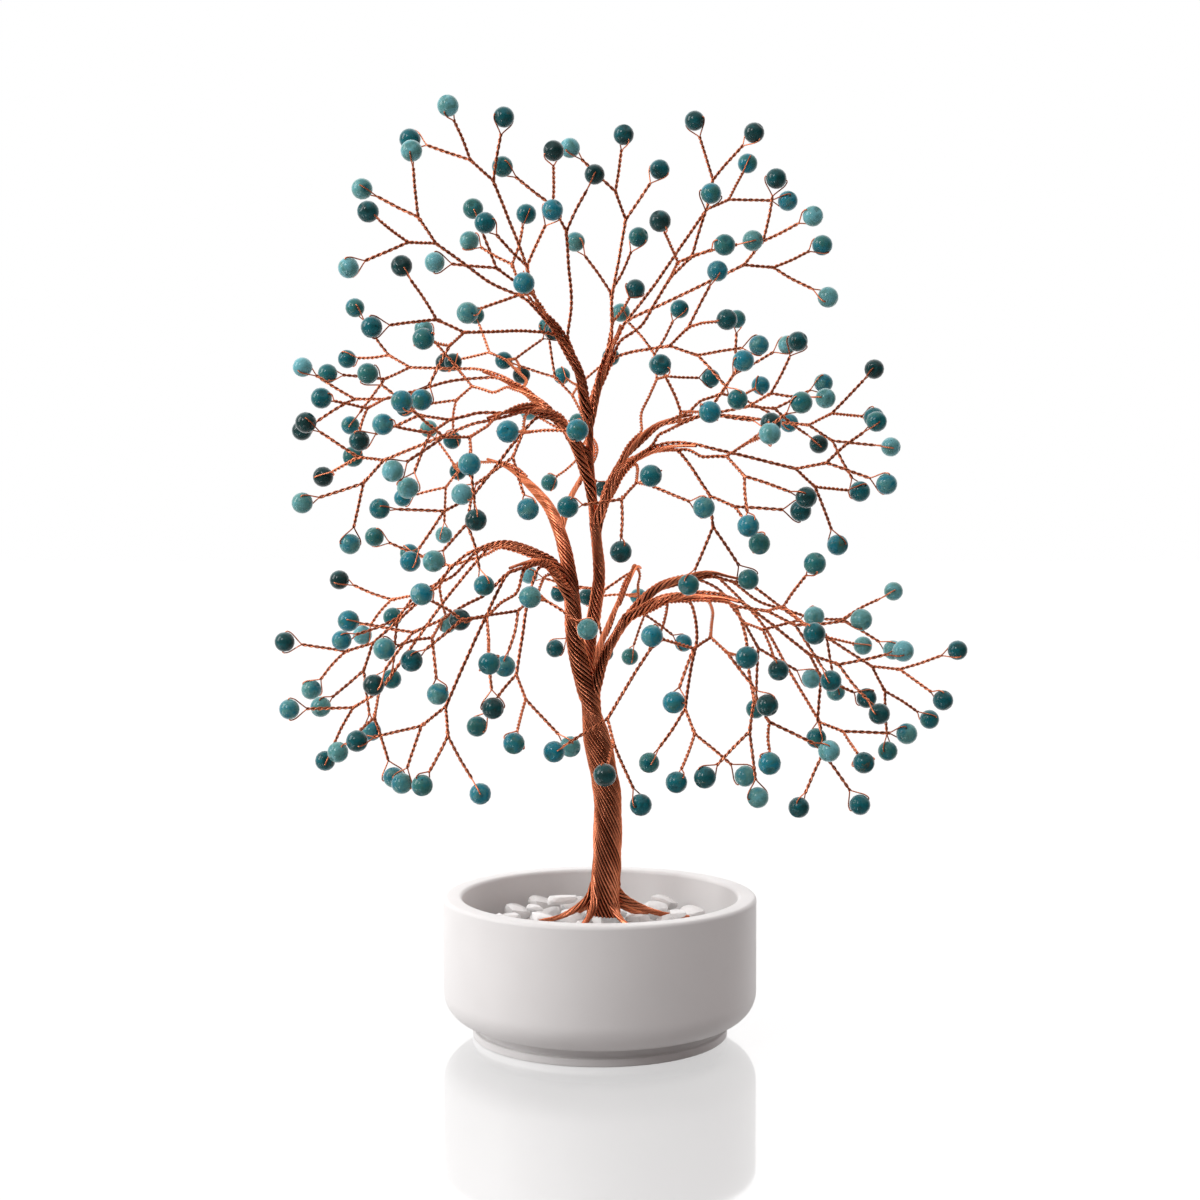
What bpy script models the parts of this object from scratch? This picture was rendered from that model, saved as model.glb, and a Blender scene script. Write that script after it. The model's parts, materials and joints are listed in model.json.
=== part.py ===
"""A tree of twisted copper wire with round stone beads, on stone chips in a round bowl.

The wires of all the beads run down through forks, stems and limbs into one trunk, whose roots
spread over the chips. Each spray of beads, with the wires that carry it, is one solid. Lengths are
metres, +Z is up, +Y is away from the viewer, and the origin is the centre of the bowl's underside.
"""

import math
from collections import namedtuple

import bmesh
import bpy
import numpy as np
from mathutils import Matrix, Vector, noise

# Bowl
BOWL_RADIUS = 0.046
BOWL_HEIGHT = 0.041
BOWL_WALL = 0.0055
BOWL_FLOOR = 0.008
BOWL_CORNER = 0.0085
BOWL_STEPS = 28
CORNER_STEPS = 3
LIP_STEPS = 2
INNER_CORNER = 0.006
LIP_RADIUS = 0.0012
FOOT_RADIUS = 0.0375
FOOT_HEIGHT = 0.0023
NECK_HEIGHT = 0.0026
NECK_DEPTH = 0.0012

# Stone chips
CHIP_DROP = 0.009
CHIP_BUMP = 0.0012
CHIP_GRAIN = 0.0085
CHIP_STEPS = 20
CHIP_RINGS = 5
CHIP_SEED = 7.0
LOOSE_CHIP_SIZE = 0.0042
LOOSE_CHIP_DENT = 0.22
LOOSE_CHIP_GRAIN = 0.002
REST_GAP = 0.0003

# Tree
TREE_HEIGHT = 0.238
WIRE_DIAMETER = 0.0004
WIRE_PACKING = 0.75
BEAD_DIAMETER = 0.006
BEAD_FACET_SWELL = 1.08
SECTION_SWELL = 1.25
LOOP_REACH = 0.0048
ARM_LENGTH = 0.0132
SIDE_STEM_LENGTH = 0.0085
STEM_PIECES = 3
STEM_LEAN = 0.8
STEM_BEND = 0.35
FORK_ANGLE = math.radians(31.0)
FORK_TWIST = math.radians(-60.0)
LIMB_SPACING = 0.012
TRUNK_SIDE_STEPS = 2
LIMB_SIDE_STEPS = 1
ROOT_RISE = 0.012
ROOT_WIRES = 83
ROOT_TIP_WIRES = 23
ROOT_PIECES = 3

# Clear space kept between the settled wires and beads
BEAD_CLEARANCE = 0.0005
WIRE_CLEARANCE = 0.0004
SETTLE_ROUNDS = 30
SETTLE_STEPS = 12
SETTLE_REACH = 0.006
SETTLE_RATE = 0.4

# Points nearer than this are welded; lengths are never divided by less than the smaller one
WELD = 0.00001
TINY = 0.000000001

# Faces that meet at more than this are shaded as an edge
SHARP_ANGLE = math.radians(40.0)

Limb = namedtuple("Limb", "name parent share foot_wires tip_wires way")
Spray = namedtuple("Spray", "limb share crown beads turn")

# Limbs: the limb that each divides from and the share of its length, the wires at foot and tip, and
# the way to the tip, as hundredths of the tree's height above the chips
LIMBS = (
    Limb("trunk", None, 0.0, 430, 330,
         ((0.4, 0, 1.2), (0.9, 0, 9), (0.8, 0, 17), (-0.6, 0, 24), (-1.6, 0, 29))),
    Limb("left_stem", "trunk", 0.97, 217, 32,
         ((-3, -1.6, 35), (-3.7, -1.3, 43), (-6, 3, 51), (-12, 15, 57), (-18, 24, 59))),
    Limb("main_stem", "trunk", 1.0, 158, 48, ((-1.3, 2, 35), (-0.1, 0, 43), (-0.8, -0.8, 51), (-1.6, 0, 65))),
    Limb("top_left", "main_stem", 0.94, 56, 12, ((-3, -1.5, 69), (-6, -4.5, 74), (-9, -8, 77))),
    Limb("top_right", "main_stem", 0.90, 48, 12, ((0, 0.8, 67), (1.5, -1.2, 71), (3, -3.4, 75))),
    Limb("mid_left_back", "main_stem", 0.80, 42, 12, ((-6, -2.5, 63), (-11, 5, 67), (-17, 12, 70))),
    Limb("mid_left_front", "main_stem", 0.69, 72, 14, ((-4.4, -5.5, 61.5), (-9.4, -11, 63), (-15, -15, 61))),
    Limb("mid_back", "left_stem", 0.42, 32, 10, ((-3.7, 7.6, 53), (-0.8, 16, 59), (-2, 23, 62))),
    Limb("mid_right_back", "main_stem", 0.55, 56, 12, ((1.9, 1.7, 56), (7, 6.7, 62), (14, 12, 64))),
    Limb("mid_right_front", "main_stem", 0.58, 60, 12, ((3, -5, 56.5), (7.5, -10, 58.5), (13, -15, 58.5))),
    Limb("low_right", "trunk", 0.93, 108, 83, ((0.4, -0.9, 33), (4.4, -1.7, 40))),
    Limb("low_right_back", "low_right", 0.80, 61, 14, ((7, 1.3, 41.5), (13, 5, 43.4), (20, 8, 42))),
    Limb("low_right_front", "low_right", 0.84, 61, 14, ((8, -6.3, 40.6), (13.5, -11, 41), (18, -15, 40))),
    Limb("low_left_back", "left_stem", 0.26, 56, 12, ((-5.4, -2.5, 44.5), (-11.6, -1.3, 47), (-18, 1, 45.5))),
    Limb("low_left_front", "left_stem", 0.24, 56, 14, ((-6.8, -7.6, 45), (-11.5, -14, 44))),
    Limb("low_back", "main_stem", 0.06, 32, 10, ((2.6, 11, 40), (5, 18, 44), (6, 24, 43))),
)

# Sprays: limb, share of its length, middle of the beads, number of beads, turn of the first fork
SPRAYS = (
    Spray("top_left", 0.97, (-26, -15, 86), 4, 30),
    Spray("top_left", 0.90, (-15, -11, 97), 3, 20),
    Spray("top_left", 0.55, (-4, -8, 92), 3, 30),
    Spray("top_left", 0.70, (-15, -2, 85), 4, 60),
    Spray("top_left", 0.80, (-10, -17, 79), 4, 40),
    Spray("top_left", 0.65, (-22, -19, 71), 4, 30),
    Spray("top_right", 0.75, (4, -4, 94), 3, 30),
    Spray("top_right", 0.90, (18, 2, 95), 4, 40),
    Spray("top_right", 0.97, (25, -6, 84), 4, 30),
    Spray("top_right", 0.80, (13, -13, 84), 4, 80),
    Spray("top_right", 0.50, (3, 5, 82), 3, 60),
    Spray("top_right", 0.65, (16, -8, 72), 4, 30),
    Spray("mid_left_back", 0.97, (-33, 13, 70), 4, 30),
    Spray("mid_left_back", 0.80, (-34, -3, 63), 4, 60),
    Spray("mid_left_back", 0.70, (-22, 18, 68), 4, 0),
    Spray("mid_left_back", 0.60, (-14, 26, 74), 4, 40),
    Spray("mid_left_front", 0.97, (-33, -9, 54), 4, 30),
    Spray("mid_left_front", 0.85, (-25, -18, 60), 4, 50),
    Spray("mid_left_front", 0.90, (-18, -26, 56), 4, 10),
    Spray("mid_left_front", 0.60, (-20, -14, 46), 4, 30),
    Spray("mid_left_front", 0.70, (-9, -23, 56), 4, 60),
    Spray("mid_right_back", 0.90, (22, 17, 70), 4, 30),
    Spray("mid_right_back", 0.70, (27, 4, 66), 4, 60),
    Spray("mid_right_back", 0.97, (34, 2, 61), 4, 30),
    Spray("mid_right_back", 0.60, (9, 21, 74), 4, 50),
    Spray("mid_right_front", 0.97, (31, -11, 54), 4, 40),
    Spray("mid_right_front", 0.90, (20, -24, 56), 4, 10),
    Spray("mid_right_front", 0.80, (17, -17, 46), 4, 30),
    Spray("mid_right_front", 0.65, (13, -19, 64), 4, 60),
    Spray("mid_right_front", 0.50, (4, -21, 51), 4, 30),
    Spray("mid_back", 0.90, (-6, 31, 73), 4, 50),
    Spray("mid_back", 0.97, (-5, 37, 60), 4, 0),
    Spray("left_stem", 0.97, (-22, 32, 56), 4, 40),
    Spray("low_left_back", 0.70, (-25, 11, 42), 4, 0),
    Spray("low_left_back", 0.90, (-30, 2, 36), 4, 50),
    Spray("low_left_back", 0.97, (-34, -2, 29), 4, 30),
    Spray("low_left_back", 0.80, (-31, -11, 23), 4, 40),
    Spray("low_left_front", 0.97, (-21, -19, 21), 4, 30),
    Spray("low_left_front", 0.90, (-24, -21, 34), 4, 60),
    Spray("low_left_front", 0.75, (-16, -26, 35), 4, 0),
    Spray("low_left_front", 0.60, (-11, -17, 25), 3, 30),
    Spray("low_left_front", 0.45, (-9, -19, 38), 4, 50),
    Spray("low_right_front", 0.85, (22, -19, 39), 4, 60),
    Spray("low_right_back", 0.85, (35, 11, 34), 4, 40),
    Spray("low_right_back", 0.97, (41, 2, 27), 4, 30),
    Spray("low_right_front", 0.97, (31, -13, 29), 4, 50),
    Spray("low_right_back", 0.75, (30, -13, 20), 4, 30),
    Spray("low_right_front", 0.90, (18, -24, 22), 4, 40),
    Spray("low_right_front", 0.70, (12, -27, 33), 4, 0),
    Spray("low_right_front", 0.55, (9, -17, 21), 3, 30),
    Spray("low_right_back", 0.60, (23, -4, 32), 4, 60),
    Spray("low_right_front", 0.35, (-2, -23, 22), 3, 20),
    Spray("low_back", 0.95, (5, 32, 37), 4, 50),
    Spray("low_back", 0.75, (-5, 25, 37), 4, 10),
)

# Roots: share of the way out, share of the rise
ROOT_SHAPE = ((0.05, 1.0), (0.24, 0.5), (0.55, 0.2), (1.0, 0.0))

# Roots: bearing from +X in degrees, length
ROOTS = ((185, 0.019), (140, 0.015), (10, 0.026), (38, 0.017), (310, 0.013), (240, 0.016))

# Loose chips that stand above the rest: bearing in degrees, share of the bowl's radius, stretch
LOOSE_CHIPS = (
    (127, 0.48, (3.5, 1.9, 1.35)),
    (158, 0.53, (2.2, 1.6, 0.95)),
    (352, 0.57, (1.8, 1.5, 1.0)),
)


def chip_level():
    """Return the height of the chips' level surface."""
    return BOWL_HEIGHT - CHIP_DROP


def pose_point(shares):
    """Return a point of the tree from its hundredths of the tree's height."""
    point = np.array(shares, float) * TREE_HEIGHT / 100.0
    point[2] += chip_level()
    return point


def unit(vector):
    """Return the vector at length 1."""
    return vector / max(np.linalg.norm(vector), TINY)


def smooth_path(knots, spacing):
    """Return points on a Catmull-Rom curve through the knots, about one spacing apart."""
    knots = np.array(knots, float)
    ends = np.vstack([2 * knots[0] - knots[1], knots, 2 * knots[-1] - knots[-2]])
    points = [knots[0]]
    for before, start, end, after in zip(ends, ends[1:], ends[2:], ends[3:]):
        count = max(1, round(np.linalg.norm(end - start) / spacing))
        for step in range(1, count + 1):
            t = step / count
            points.append(0.5 * (2 * start + (end - before) * t
                                 + (2 * before - 5 * start + 4 * end - after) * t ** 2
                                 + (3 * start - before - 3 * end + after) * t ** 3))
    return np.array(points)


def shares_along(path):
    """Return each point's share of the path's length."""
    lengths = np.concatenate([[0.0], np.cumsum(np.linalg.norm(np.diff(path, axis=0), axis=1))])
    return lengths / lengths[-1]


def point_at(path, share):
    """Return the point and the direction of a path at a share of its length."""
    shares = shares_along(path)
    point = np.array([np.interp(share, shares, path[:, axis]) for axis in range(3)])
    segment = min(max(np.searchsorted(shares, share) - 1, 0), len(path) - 2)
    return point, unit(path[segment + 1] - path[segment])


def bundle_radius(wires):
    """Return the radius of a twisted bundle of wires."""
    return WIRE_DIAMETER / 2 * math.sqrt(wires / WIRE_PACKING)


def turned(vector, axis, angle):
    """Return the vector turned about a unit axis."""
    along = axis * np.dot(axis, vector) * (1 - math.cos(angle))
    return vector * math.cos(angle) + np.cross(axis, vector) * math.sin(angle) + along


class Thicket:
    """Points of all the sprays, and the straight runs of wire and the beads between them."""

    def __init__(self):
        self.points = []
        self.runs = []
        self.radii = []

    def add_point(self, point):
        """Add a point and return its number."""
        self.points.append(np.array(point, float))
        return len(self.points) - 1

    def add_run(self, start, end, radius):
        """Add a run between two points; a bead is a run that starts and ends at its centre."""
        self.runs.append((start, end))
        self.radii.append(radius)


def limb_paths():
    """Return each limb's centre line and radii, by name."""
    paths = {}
    for limb in LIMBS:
        knots = [pose_point(knot) for knot in limb.way]
        if limb.parent:
            knots.insert(0, point_at(paths[limb.parent][0], limb.share)[0])
        path = smooth_path(knots, LIMB_SPACING)
        ends = (bundle_radius(limb.foot_wires), bundle_radius(limb.tip_wires))
        paths[limb.name] = (path, np.interp(shares_along(path), (0, 1), ends))
    return paths


def grow(thicket, fork, heading, side, beads):
    """Grow two branches from a fork: each is an arm with a bead, or a side stem that forks again."""
    start = thicket.points[fork]
    branches = []
    for sign, count in ((-1, beads // 2), (1, beads - beads // 2)):
        way = turned(heading, np.cross(heading, side), sign * FORK_ANGLE)
        if count == 1:
            end = thicket.add_point(start + way * (ARM_LENGTH + LOOP_REACH))
            thicket.add_run(fork, end, bundle_radius(2))
            thicket.add_run(end, end, BEAD_DIAMETER / 2 * BEAD_FACET_SWELL + BEAD_CLEARANCE)
            branches.append({"end": end, "beads": 1, "branches": []})
        else:
            end = thicket.add_point(start + way * SIDE_STEM_LENGTH)
            thicket.add_run(fork, end, bundle_radius(2 * count))
            across = turned(unit(side - way * np.dot(side, way)), way, FORK_TWIST)
            twigs = grow(thicket, end, way, across, count)
            branches.append({"end": end, "beads": count, "branches": twigs})
    return branches


def mean_reach(beads):
    """Return how far ahead of a fork the middle of its beads lies."""
    total = 0.0
    for count in (beads // 2, beads - beads // 2):
        total += count * (ARM_LENGTH + LOOP_REACH if count == 1 else SIDE_STEM_LENGTH + mean_reach(count))
    return total / beads * math.cos(FORK_ANGLE)


def grow_spray(thicket, spray, paths):
    """Grow one spray from its limb towards its crown and return its plan of point numbers."""
    path, radii = paths[spray.limb]
    foot, along = point_at(path, spray.share)
    limb_radius = np.interp(spray.share, shares_along(path), radii)
    crown = pose_point(spray.crown)
    out = unit(crown - foot)
    aside = unit(out - along * np.dot(out, along))
    stem_radius = bundle_radius(2 * spray.beads)
    base = foot + aside * (limb_radius + stem_radius + REST_GAP)
    length = max(np.linalg.norm(crown - base) - mean_reach(spray.beads), LIMB_SPACING)
    heading = unit(crown - base)
    fork = base + heading * length
    leave = base + unit(along * STEM_LEAN + aside) * length * STEM_BEND
    arrive = fork - heading * length * STEM_BEND
    plan = {"limb": spray.limb, "beads": spray.beads, "stem": [thicket.add_point(base)]}
    for step in range(1, STEM_PIECES + 1):
        t = step / STEM_PIECES
        point = ((1 - t) ** 3 * base + 3 * t * (1 - t) ** 2 * leave
                 + 3 * t ** 2 * (1 - t) * arrive + t ** 3 * fork)
        plan["stem"].append(thicket.add_point(point))
        thicket.add_run(plan["stem"][-2], plan["stem"][-1], stem_radius)
    level = unit(np.cross(heading, (0.0, 1.0, 0.0)))
    side = turned(level, heading, math.radians(spray.turn))
    plan["branches"] = grow(thicket, plan["stem"][-1], heading, side, spray.beads)
    return plan


def nearest(start_a, end_a, start_b, end_b):
    """Return the nearest points of pairs of segments, as shares along each."""
    run_a, run_b, offset = end_a - start_a, end_b - start_b, start_a - start_b
    a = np.maximum(np.einsum("ij,ij->i", run_a, run_a), TINY ** 2)
    e = np.maximum(np.einsum("ij,ij->i", run_b, run_b), TINY ** 2)
    b = np.einsum("ij,ij->i", run_a, run_b)
    c = np.einsum("ij,ij->i", run_a, offset)
    f = np.einsum("ij,ij->i", run_b, offset)
    s = np.clip((b * f - c * e) / np.maximum(a * e - b * b, TINY ** 2), 0, 1)
    t = np.clip((b * s + f) / e, 0, 1)
    s = np.clip((b * t - c) / a, 0, 1)
    return s, t


def settle(thicket, plans, paths):
    """Move the sprays apart until each wire and bead has its clear space."""
    points = np.array(thicket.points)
    limb_runs = []
    for path, radii in paths.values():
        for index in range(len(path) - 1):
            limb_runs.append((path[index], path[index + 1], max(radii[index], radii[index + 1])))
    fixed = np.vstack([np.array([run[0] for run in limb_runs]), np.array([run[1] for run in limb_runs])])
    movable = len(points)
    points = np.vstack([points, fixed])
    count = len(limb_runs)
    runs = np.array(thicket.runs + [(movable + i, movable + count + i) for i in range(count)])
    radii = np.array(thicket.radii + [run[2] for run in limb_runs])
    weight = np.where(np.arange(len(points)) < movable, 1.0, 0.0)
    free = len(thicket.runs)
    wires = np.array([run for run in thicket.runs if run[0] != run[1]])
    rest = np.linalg.norm(points[wires[:, 0]] - points[wires[:, 1]], axis=1)
    bases = [(plan["stem"][0], plan["limb"], 2 * plan["beads"]) for plan in plans]
    for _ in range(SETTLE_ROUNDS):
        start, end = points[runs[:, 0]], points[runs[:, 1]]
        middle, half = (start + end) / 2, np.linalg.norm(end - start, axis=1) / 2
        gap = np.linalg.norm(middle[:free, None] - middle[None], axis=2) - half[:free, None] - half[None]
        first, second = np.nonzero(gap - radii[:free, None] - radii[None] < SETTLE_REACH)
        shared = (runs[first][:, :, None] == runs[second][:, None, :]).any(axis=(1, 2))
        keep = (first < second) & ~shared
        first, second = first[keep], second[keep]
        need = radii[first] + radii[second] + WIRE_CLEARANCE
        for _ in range(SETTLE_STEPS):
            move = np.zeros_like(points)
            i0, i1, j0, j1 = runs[first, 0], runs[first, 1], runs[second, 0], runs[second, 1]
            s, t = nearest(points[i0], points[i1], points[j0], points[j1])
            near_i = points[i0] * (1 - s)[:, None] + points[i1] * s[:, None]
            near_j = points[j0] * (1 - t)[:, None] + points[j1] * t[:, None]
            apart = near_i - near_j
            distance = np.maximum(np.linalg.norm(apart, axis=1), TINY)
            lack = np.maximum(need - distance, 0.0)
            shares = ((i0, 1 - s, 1), (i1, s, 1), (j0, 1 - t, -1), (j1, t, -1))
            total = sum(weight[number] * share ** 2 for number, share, _ in shares)
            push = (lack / np.maximum(total, TINY) / distance)[:, None] * apart
            for number, share, sign in shares:
                np.add.at(move, number, sign * push * (share * weight[number])[:, None])
            points += move * SETTLE_RATE
            span = points[wires[:, 1]] - points[wires[:, 0]]
            length = np.maximum(np.linalg.norm(span, axis=1), TINY)
            pull = span * ((length - rest) / length / 2 * SETTLE_RATE)[:, None]
            np.add.at(points, wires[:, 0], pull)
            np.add.at(points, wires[:, 1], -pull)
            for number, limb, carried in bases:
                points[number] = on_limb(points[number], paths[limb], bundle_radius(carried))
    return points[:movable]


def on_limb(point, limb_path, radius):
    """Return the point moved to where a wire of that radius lies against its limb."""
    path, radii = limb_path
    start, run = path[:-1], np.diff(path, axis=0)
    share = np.clip(np.einsum("ij,ij->i", point - start, run) / np.einsum("ij,ij->i", run, run), 0, 1)
    feet = start + run * share[:, None]
    nearest_run = np.argmin(np.linalg.norm(point - feet, axis=1))
    limb_radius = max(radii[nearest_run], radii[nearest_run + 1])
    out = unit(point - feet[nearest_run])
    return feet[nearest_run] + out * (limb_radius + radius + WIRE_CLEARANCE)


def plan_sprays(paths):
    """Return the settled points of all the sprays and each spray's plan."""
    thicket = Thicket()
    plans = [grow_spray(thicket, spray, paths) for spray in SPRAYS]
    return settle(thicket, plans, paths), plans


def clear_scene():
    """Remove the objects that the scene starts with."""
    for thing in list(bpy.data.objects):
        bpy.data.objects.remove(thing, do_unlink=True)


def new_collection(name):
    """Return a new collection in the scene."""
    collection = bpy.data.collections.new(name)
    bpy.context.scene.collection.children.link(collection)
    return collection


def new_material(name, colour, roughness, metallic):
    """Return a Principled material."""
    material = bpy.data.materials.new(name)
    material.use_nodes = True
    shader = material.node_tree.nodes["Principled BSDF"]
    shader.inputs["Base Color"].default_value = (*colour, 1.0)
    shader.inputs["Roughness"].default_value = roughness
    shader.inputs["Metallic"].default_value = metallic
    return material


def new_object(name, mesh, material, collection):
    """Return a smooth-shaded object of a mesh."""
    thing = bpy.data.objects.new(name, mesh)
    mesh.materials.append(material)
    mesh.shade_smooth()
    mesh.set_sharp_from_angle(angle=SHARP_ANGLE)
    collection.objects.link(thing)
    return thing


def settled_mesh(thing):
    """Return an object's evaluated mesh with its seams welded, and remove the object."""
    bpy.context.view_layer.update()
    mesh = bpy.data.meshes.new_from_object(thing.evaluated_get(bpy.context.evaluated_depsgraph_get()))
    source = thing.data
    bpy.data.objects.remove(thing)
    if isinstance(source, bpy.types.Curve):
        bpy.data.curves.remove(source)
    shape = bmesh.new()
    shape.from_mesh(mesh)
    bmesh.ops.remove_doubles(shape, verts=shape.verts, dist=WELD)
    shape.to_mesh(mesh)
    shape.free()
    return mesh


def wire_mesh(name, runs, resolution, collection):
    """Return the mesh of round bars along paths; each run is a path and its radii."""
    curve = bpy.data.curves.new(name, "CURVE")
    curve.dimensions = "3D"
    curve.bevel_depth = WIRE_DIAMETER
    curve.bevel_resolution = resolution
    curve.use_fill_caps = True
    for path, radii in runs:
        spline = curve.splines.new("POLY")
        spline.points.add(len(path) - 1)
        for point, place, radius in zip(spline.points, path, radii):
            point.co = (*place, 1.0)
            point.radius = radius / WIRE_DIAMETER
    thing = bpy.data.objects.new(name, curve)
    collection.objects.link(thing)
    return settled_mesh(thing)


def turned_mesh(name, profile, steps, collection):
    """Return the mesh of a profile turned about the upright axis."""
    mesh = bpy.data.meshes.new(name)
    mesh.from_pydata([(radius, 0.0, height) for radius, height in profile],
                     [(index, index + 1) for index in range(len(profile) - 1)], [])
    thing = bpy.data.objects.new(name, mesh)
    collection.objects.link(thing)
    screw = thing.modifiers.new("turn", "SCREW")
    screw.steps = steps
    screw.render_steps = steps
    screw.use_merge_vertices = True
    screw.merge_threshold = WELD
    return settled_mesh(thing)


def join(thing, operand):
    """Unite an object with another that goes to the collection of joined pieces."""
    operand.hide_render = True
    operand.display_type = "WIRE"
    union = thing.modifiers.new("union", "BOOLEAN")
    union.operation = "UNION"
    union.solver = "EXACT"
    union.use_self = True
    union.object = operand


def arc(centre, radius, start, end, steps):
    """Return points of an arc, with angles in degrees."""
    angles = [math.radians(start + (end - start) * step / steps) for step in range(steps + 1)]
    return [(centre[0] + radius * math.cos(angle), centre[1] + radius * math.sin(angle))
            for angle in angles]


def hollow_radius():
    """Return the radius of the bowl's hollow."""
    return BOWL_RADIUS - BOWL_WALL


def make_bowl(collection, material):
    """Make the thick round bowl with its rounded lip and its foot ring."""
    hollow = hollow_radius()
    profile = [(0.0, BOWL_FLOOR)]
    corner = (hollow - INNER_CORNER, BOWL_FLOOR + INNER_CORNER)
    profile += arc(corner, INNER_CORNER, -90, 0, CORNER_STEPS)
    crest = BOWL_HEIGHT - LIP_RADIUS
    profile += arc((hollow + LIP_RADIUS, crest), LIP_RADIUS, 180, 90, LIP_STEPS)
    profile += arc((BOWL_RADIUS - LIP_RADIUS, crest), LIP_RADIUS, 90, 0, LIP_STEPS)
    under = FOOT_HEIGHT + NECK_HEIGHT
    corner = (BOWL_RADIUS - BOWL_CORNER, under + BOWL_CORNER)
    profile += arc(corner, BOWL_CORNER, 0, -90, CORNER_STEPS)
    profile += [(FOOT_RADIUS - NECK_DEPTH, under), (FOOT_RADIUS - NECK_DEPTH, FOOT_HEIGHT),
                (FOOT_RADIUS, FOOT_HEIGHT), (FOOT_RADIUS, 0.0), (0.0, 0.0)]
    new_object("bowl", turned_mesh("bowl", profile, BOWL_STEPS, collection), material, collection)


def chip_height(place):
    """Return the height of the chips' uneven surface at a place."""
    sample = Vector((place[0] / CHIP_GRAIN, place[1] / CHIP_GRAIN, CHIP_SEED))
    return chip_level() + CHIP_BUMP * noise.noise(sample)


def make_chip_bed(collection, material):
    """Make the bed of stone chips that fills the bowl, as one solid with an uneven top."""
    radius = hollow_radius() - REST_GAP
    floor = BOWL_FLOOR + REST_GAP
    profile = [(radius * ring / CHIP_RINGS, chip_level()) for ring in range(CHIP_RINGS + 1)]
    corner = (radius - INNER_CORNER, floor + INNER_CORNER)
    profile += arc(corner, INNER_CORNER, 0, -90, CORNER_STEPS)
    profile += [(0.0, floor)]
    mesh = turned_mesh("chip_bed", profile, CHIP_STEPS, collection)
    for vertex in mesh.vertices:
        if vertex.co.z > chip_level() - CHIP_BUMP:
            vertex.co.z = chip_height(vertex.co)
    new_object("chip_bed", mesh, material, collection)


def make_loose_chips(collection, material):
    """Make the chips that stand above the bed."""
    for number, (bearing, share, stretch) in enumerate(LOOSE_CHIPS, 1):
        shape = bmesh.new()
        bmesh.ops.create_icosphere(shape, subdivisions=2, radius=LOOSE_CHIP_SIZE / 2)
        for vertex in shape.verts:
            sample = vertex.co / LOOSE_CHIP_GRAIN + Vector((CHIP_SEED * number, 0, 0))
            dent = 1.0 + LOOSE_CHIP_DENT * noise.noise(sample)
            vertex.co = Vector([axis * factor * dent for axis, factor in zip(vertex.co, stretch)])
        mesh = bpy.data.meshes.new("loose_chip_%d" % number)
        shape.to_mesh(mesh)
        shape.free()
        chip = new_object("loose_chip_%d" % number, mesh, material, collection)
        angle = math.radians(bearing)
        distance = hollow_radius() * share
        lowest = min(vertex.co.z for vertex in mesh.vertices)
        chip.location = (distance * math.cos(angle), distance * math.sin(angle),
                         chip_level() + CHIP_BUMP + REST_GAP - lowest)


def root_paths():
    """Return the roots' centre lines and radii, from inside the trunk out over the chips."""
    foot = pose_point(LIMBS[0].way[0])
    rest = chip_level() + CHIP_BUMP + REST_GAP
    runs = []
    for bearing, length in ROOTS:
        angle = math.radians(bearing)
        out = np.array((math.cos(angle), math.sin(angle), 0.0)) * length
        knots = [(foot[0] + out[0] * share, foot[1] + out[1] * share, rest + ROOT_RISE * rise)
                 for share, rise in ROOT_SHAPE]
        path = smooth_path(knots, length / ROOT_PIECES)
        ends = (bundle_radius(ROOT_WIRES), bundle_radius(ROOT_TIP_WIRES))
        radii = np.interp(shares_along(path), (0, 1), ends)
        path[:, 2] = np.maximum(path[:, 2], rest + radii)
        runs.append((path, radii))
    return runs


def make_trunk(paths, collection, joined, material):
    """Make the trunk, its limbs and its roots as one solid of twisted wire bundles."""
    bars = list(paths.values())
    mesh = wire_mesh("trunk", bars[:1], TRUNK_SIDE_STEPS, collection)
    trunk = new_object("trunk", mesh, material, collection)
    mesh = wire_mesh("limbs", bars[1:] + root_paths(), LIMB_SIDE_STEPS, joined)
    join(trunk, new_object("limbs", mesh, material, joined))


def axes_across(direction, up):
    """Return two unit axes at right angles to a direction, the first as near to up as it can be."""
    first = (up - direction * up.dot(direction)).normalized()
    return first, direction.cross(first)


def pull_section(shape, face, centre, direction, radius, up=None):
    """Pull a three-sided face out to a new place as a bar's next section and return the new face."""
    hub = face.calc_center_median()
    face = bmesh.ops.extrude_discrete_faces(shape, faces=[face])["faces"][0]
    corners = [loop.vert for loop in face.loops]
    first, second = axes_across(direction, up or corners[0].co - hub)
    third = 2 * math.pi / 3
    turns = [math.atan2((corner.co - hub).dot(second), (corner.co - hub).dot(first)) - third * index
             for index, corner in enumerate(corners)]
    turn = math.atan2(sum(math.sin(angle) for angle in turns), sum(math.cos(angle) for angle in turns))
    if up:
        turn = round(turn / third) * third
    for index, corner in enumerate(corners):
        angle = turn + third * index
        corner.co = centre + (first * math.cos(angle) + second * math.sin(angle)) * radius
    return face


def split_face(shape, face, up, side):
    """Split a three-sided face down the middle and return its halves, the one against side first."""
    hub = face.calc_center_median()
    top = max(face.verts, key=lambda corner: (corner.co - hub).dot(up))
    edge = next(edge for edge in face.edges if top not in edge.verts)
    middle = bmesh.utils.edge_split(edge, edge.verts[0], 0.5)[1]
    other = bmesh.utils.face_split(face, top, middle)[0]
    halves = sorted((face, other), key=lambda half: (half.calc_center_median() - hub).dot(side))
    return halves


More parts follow.
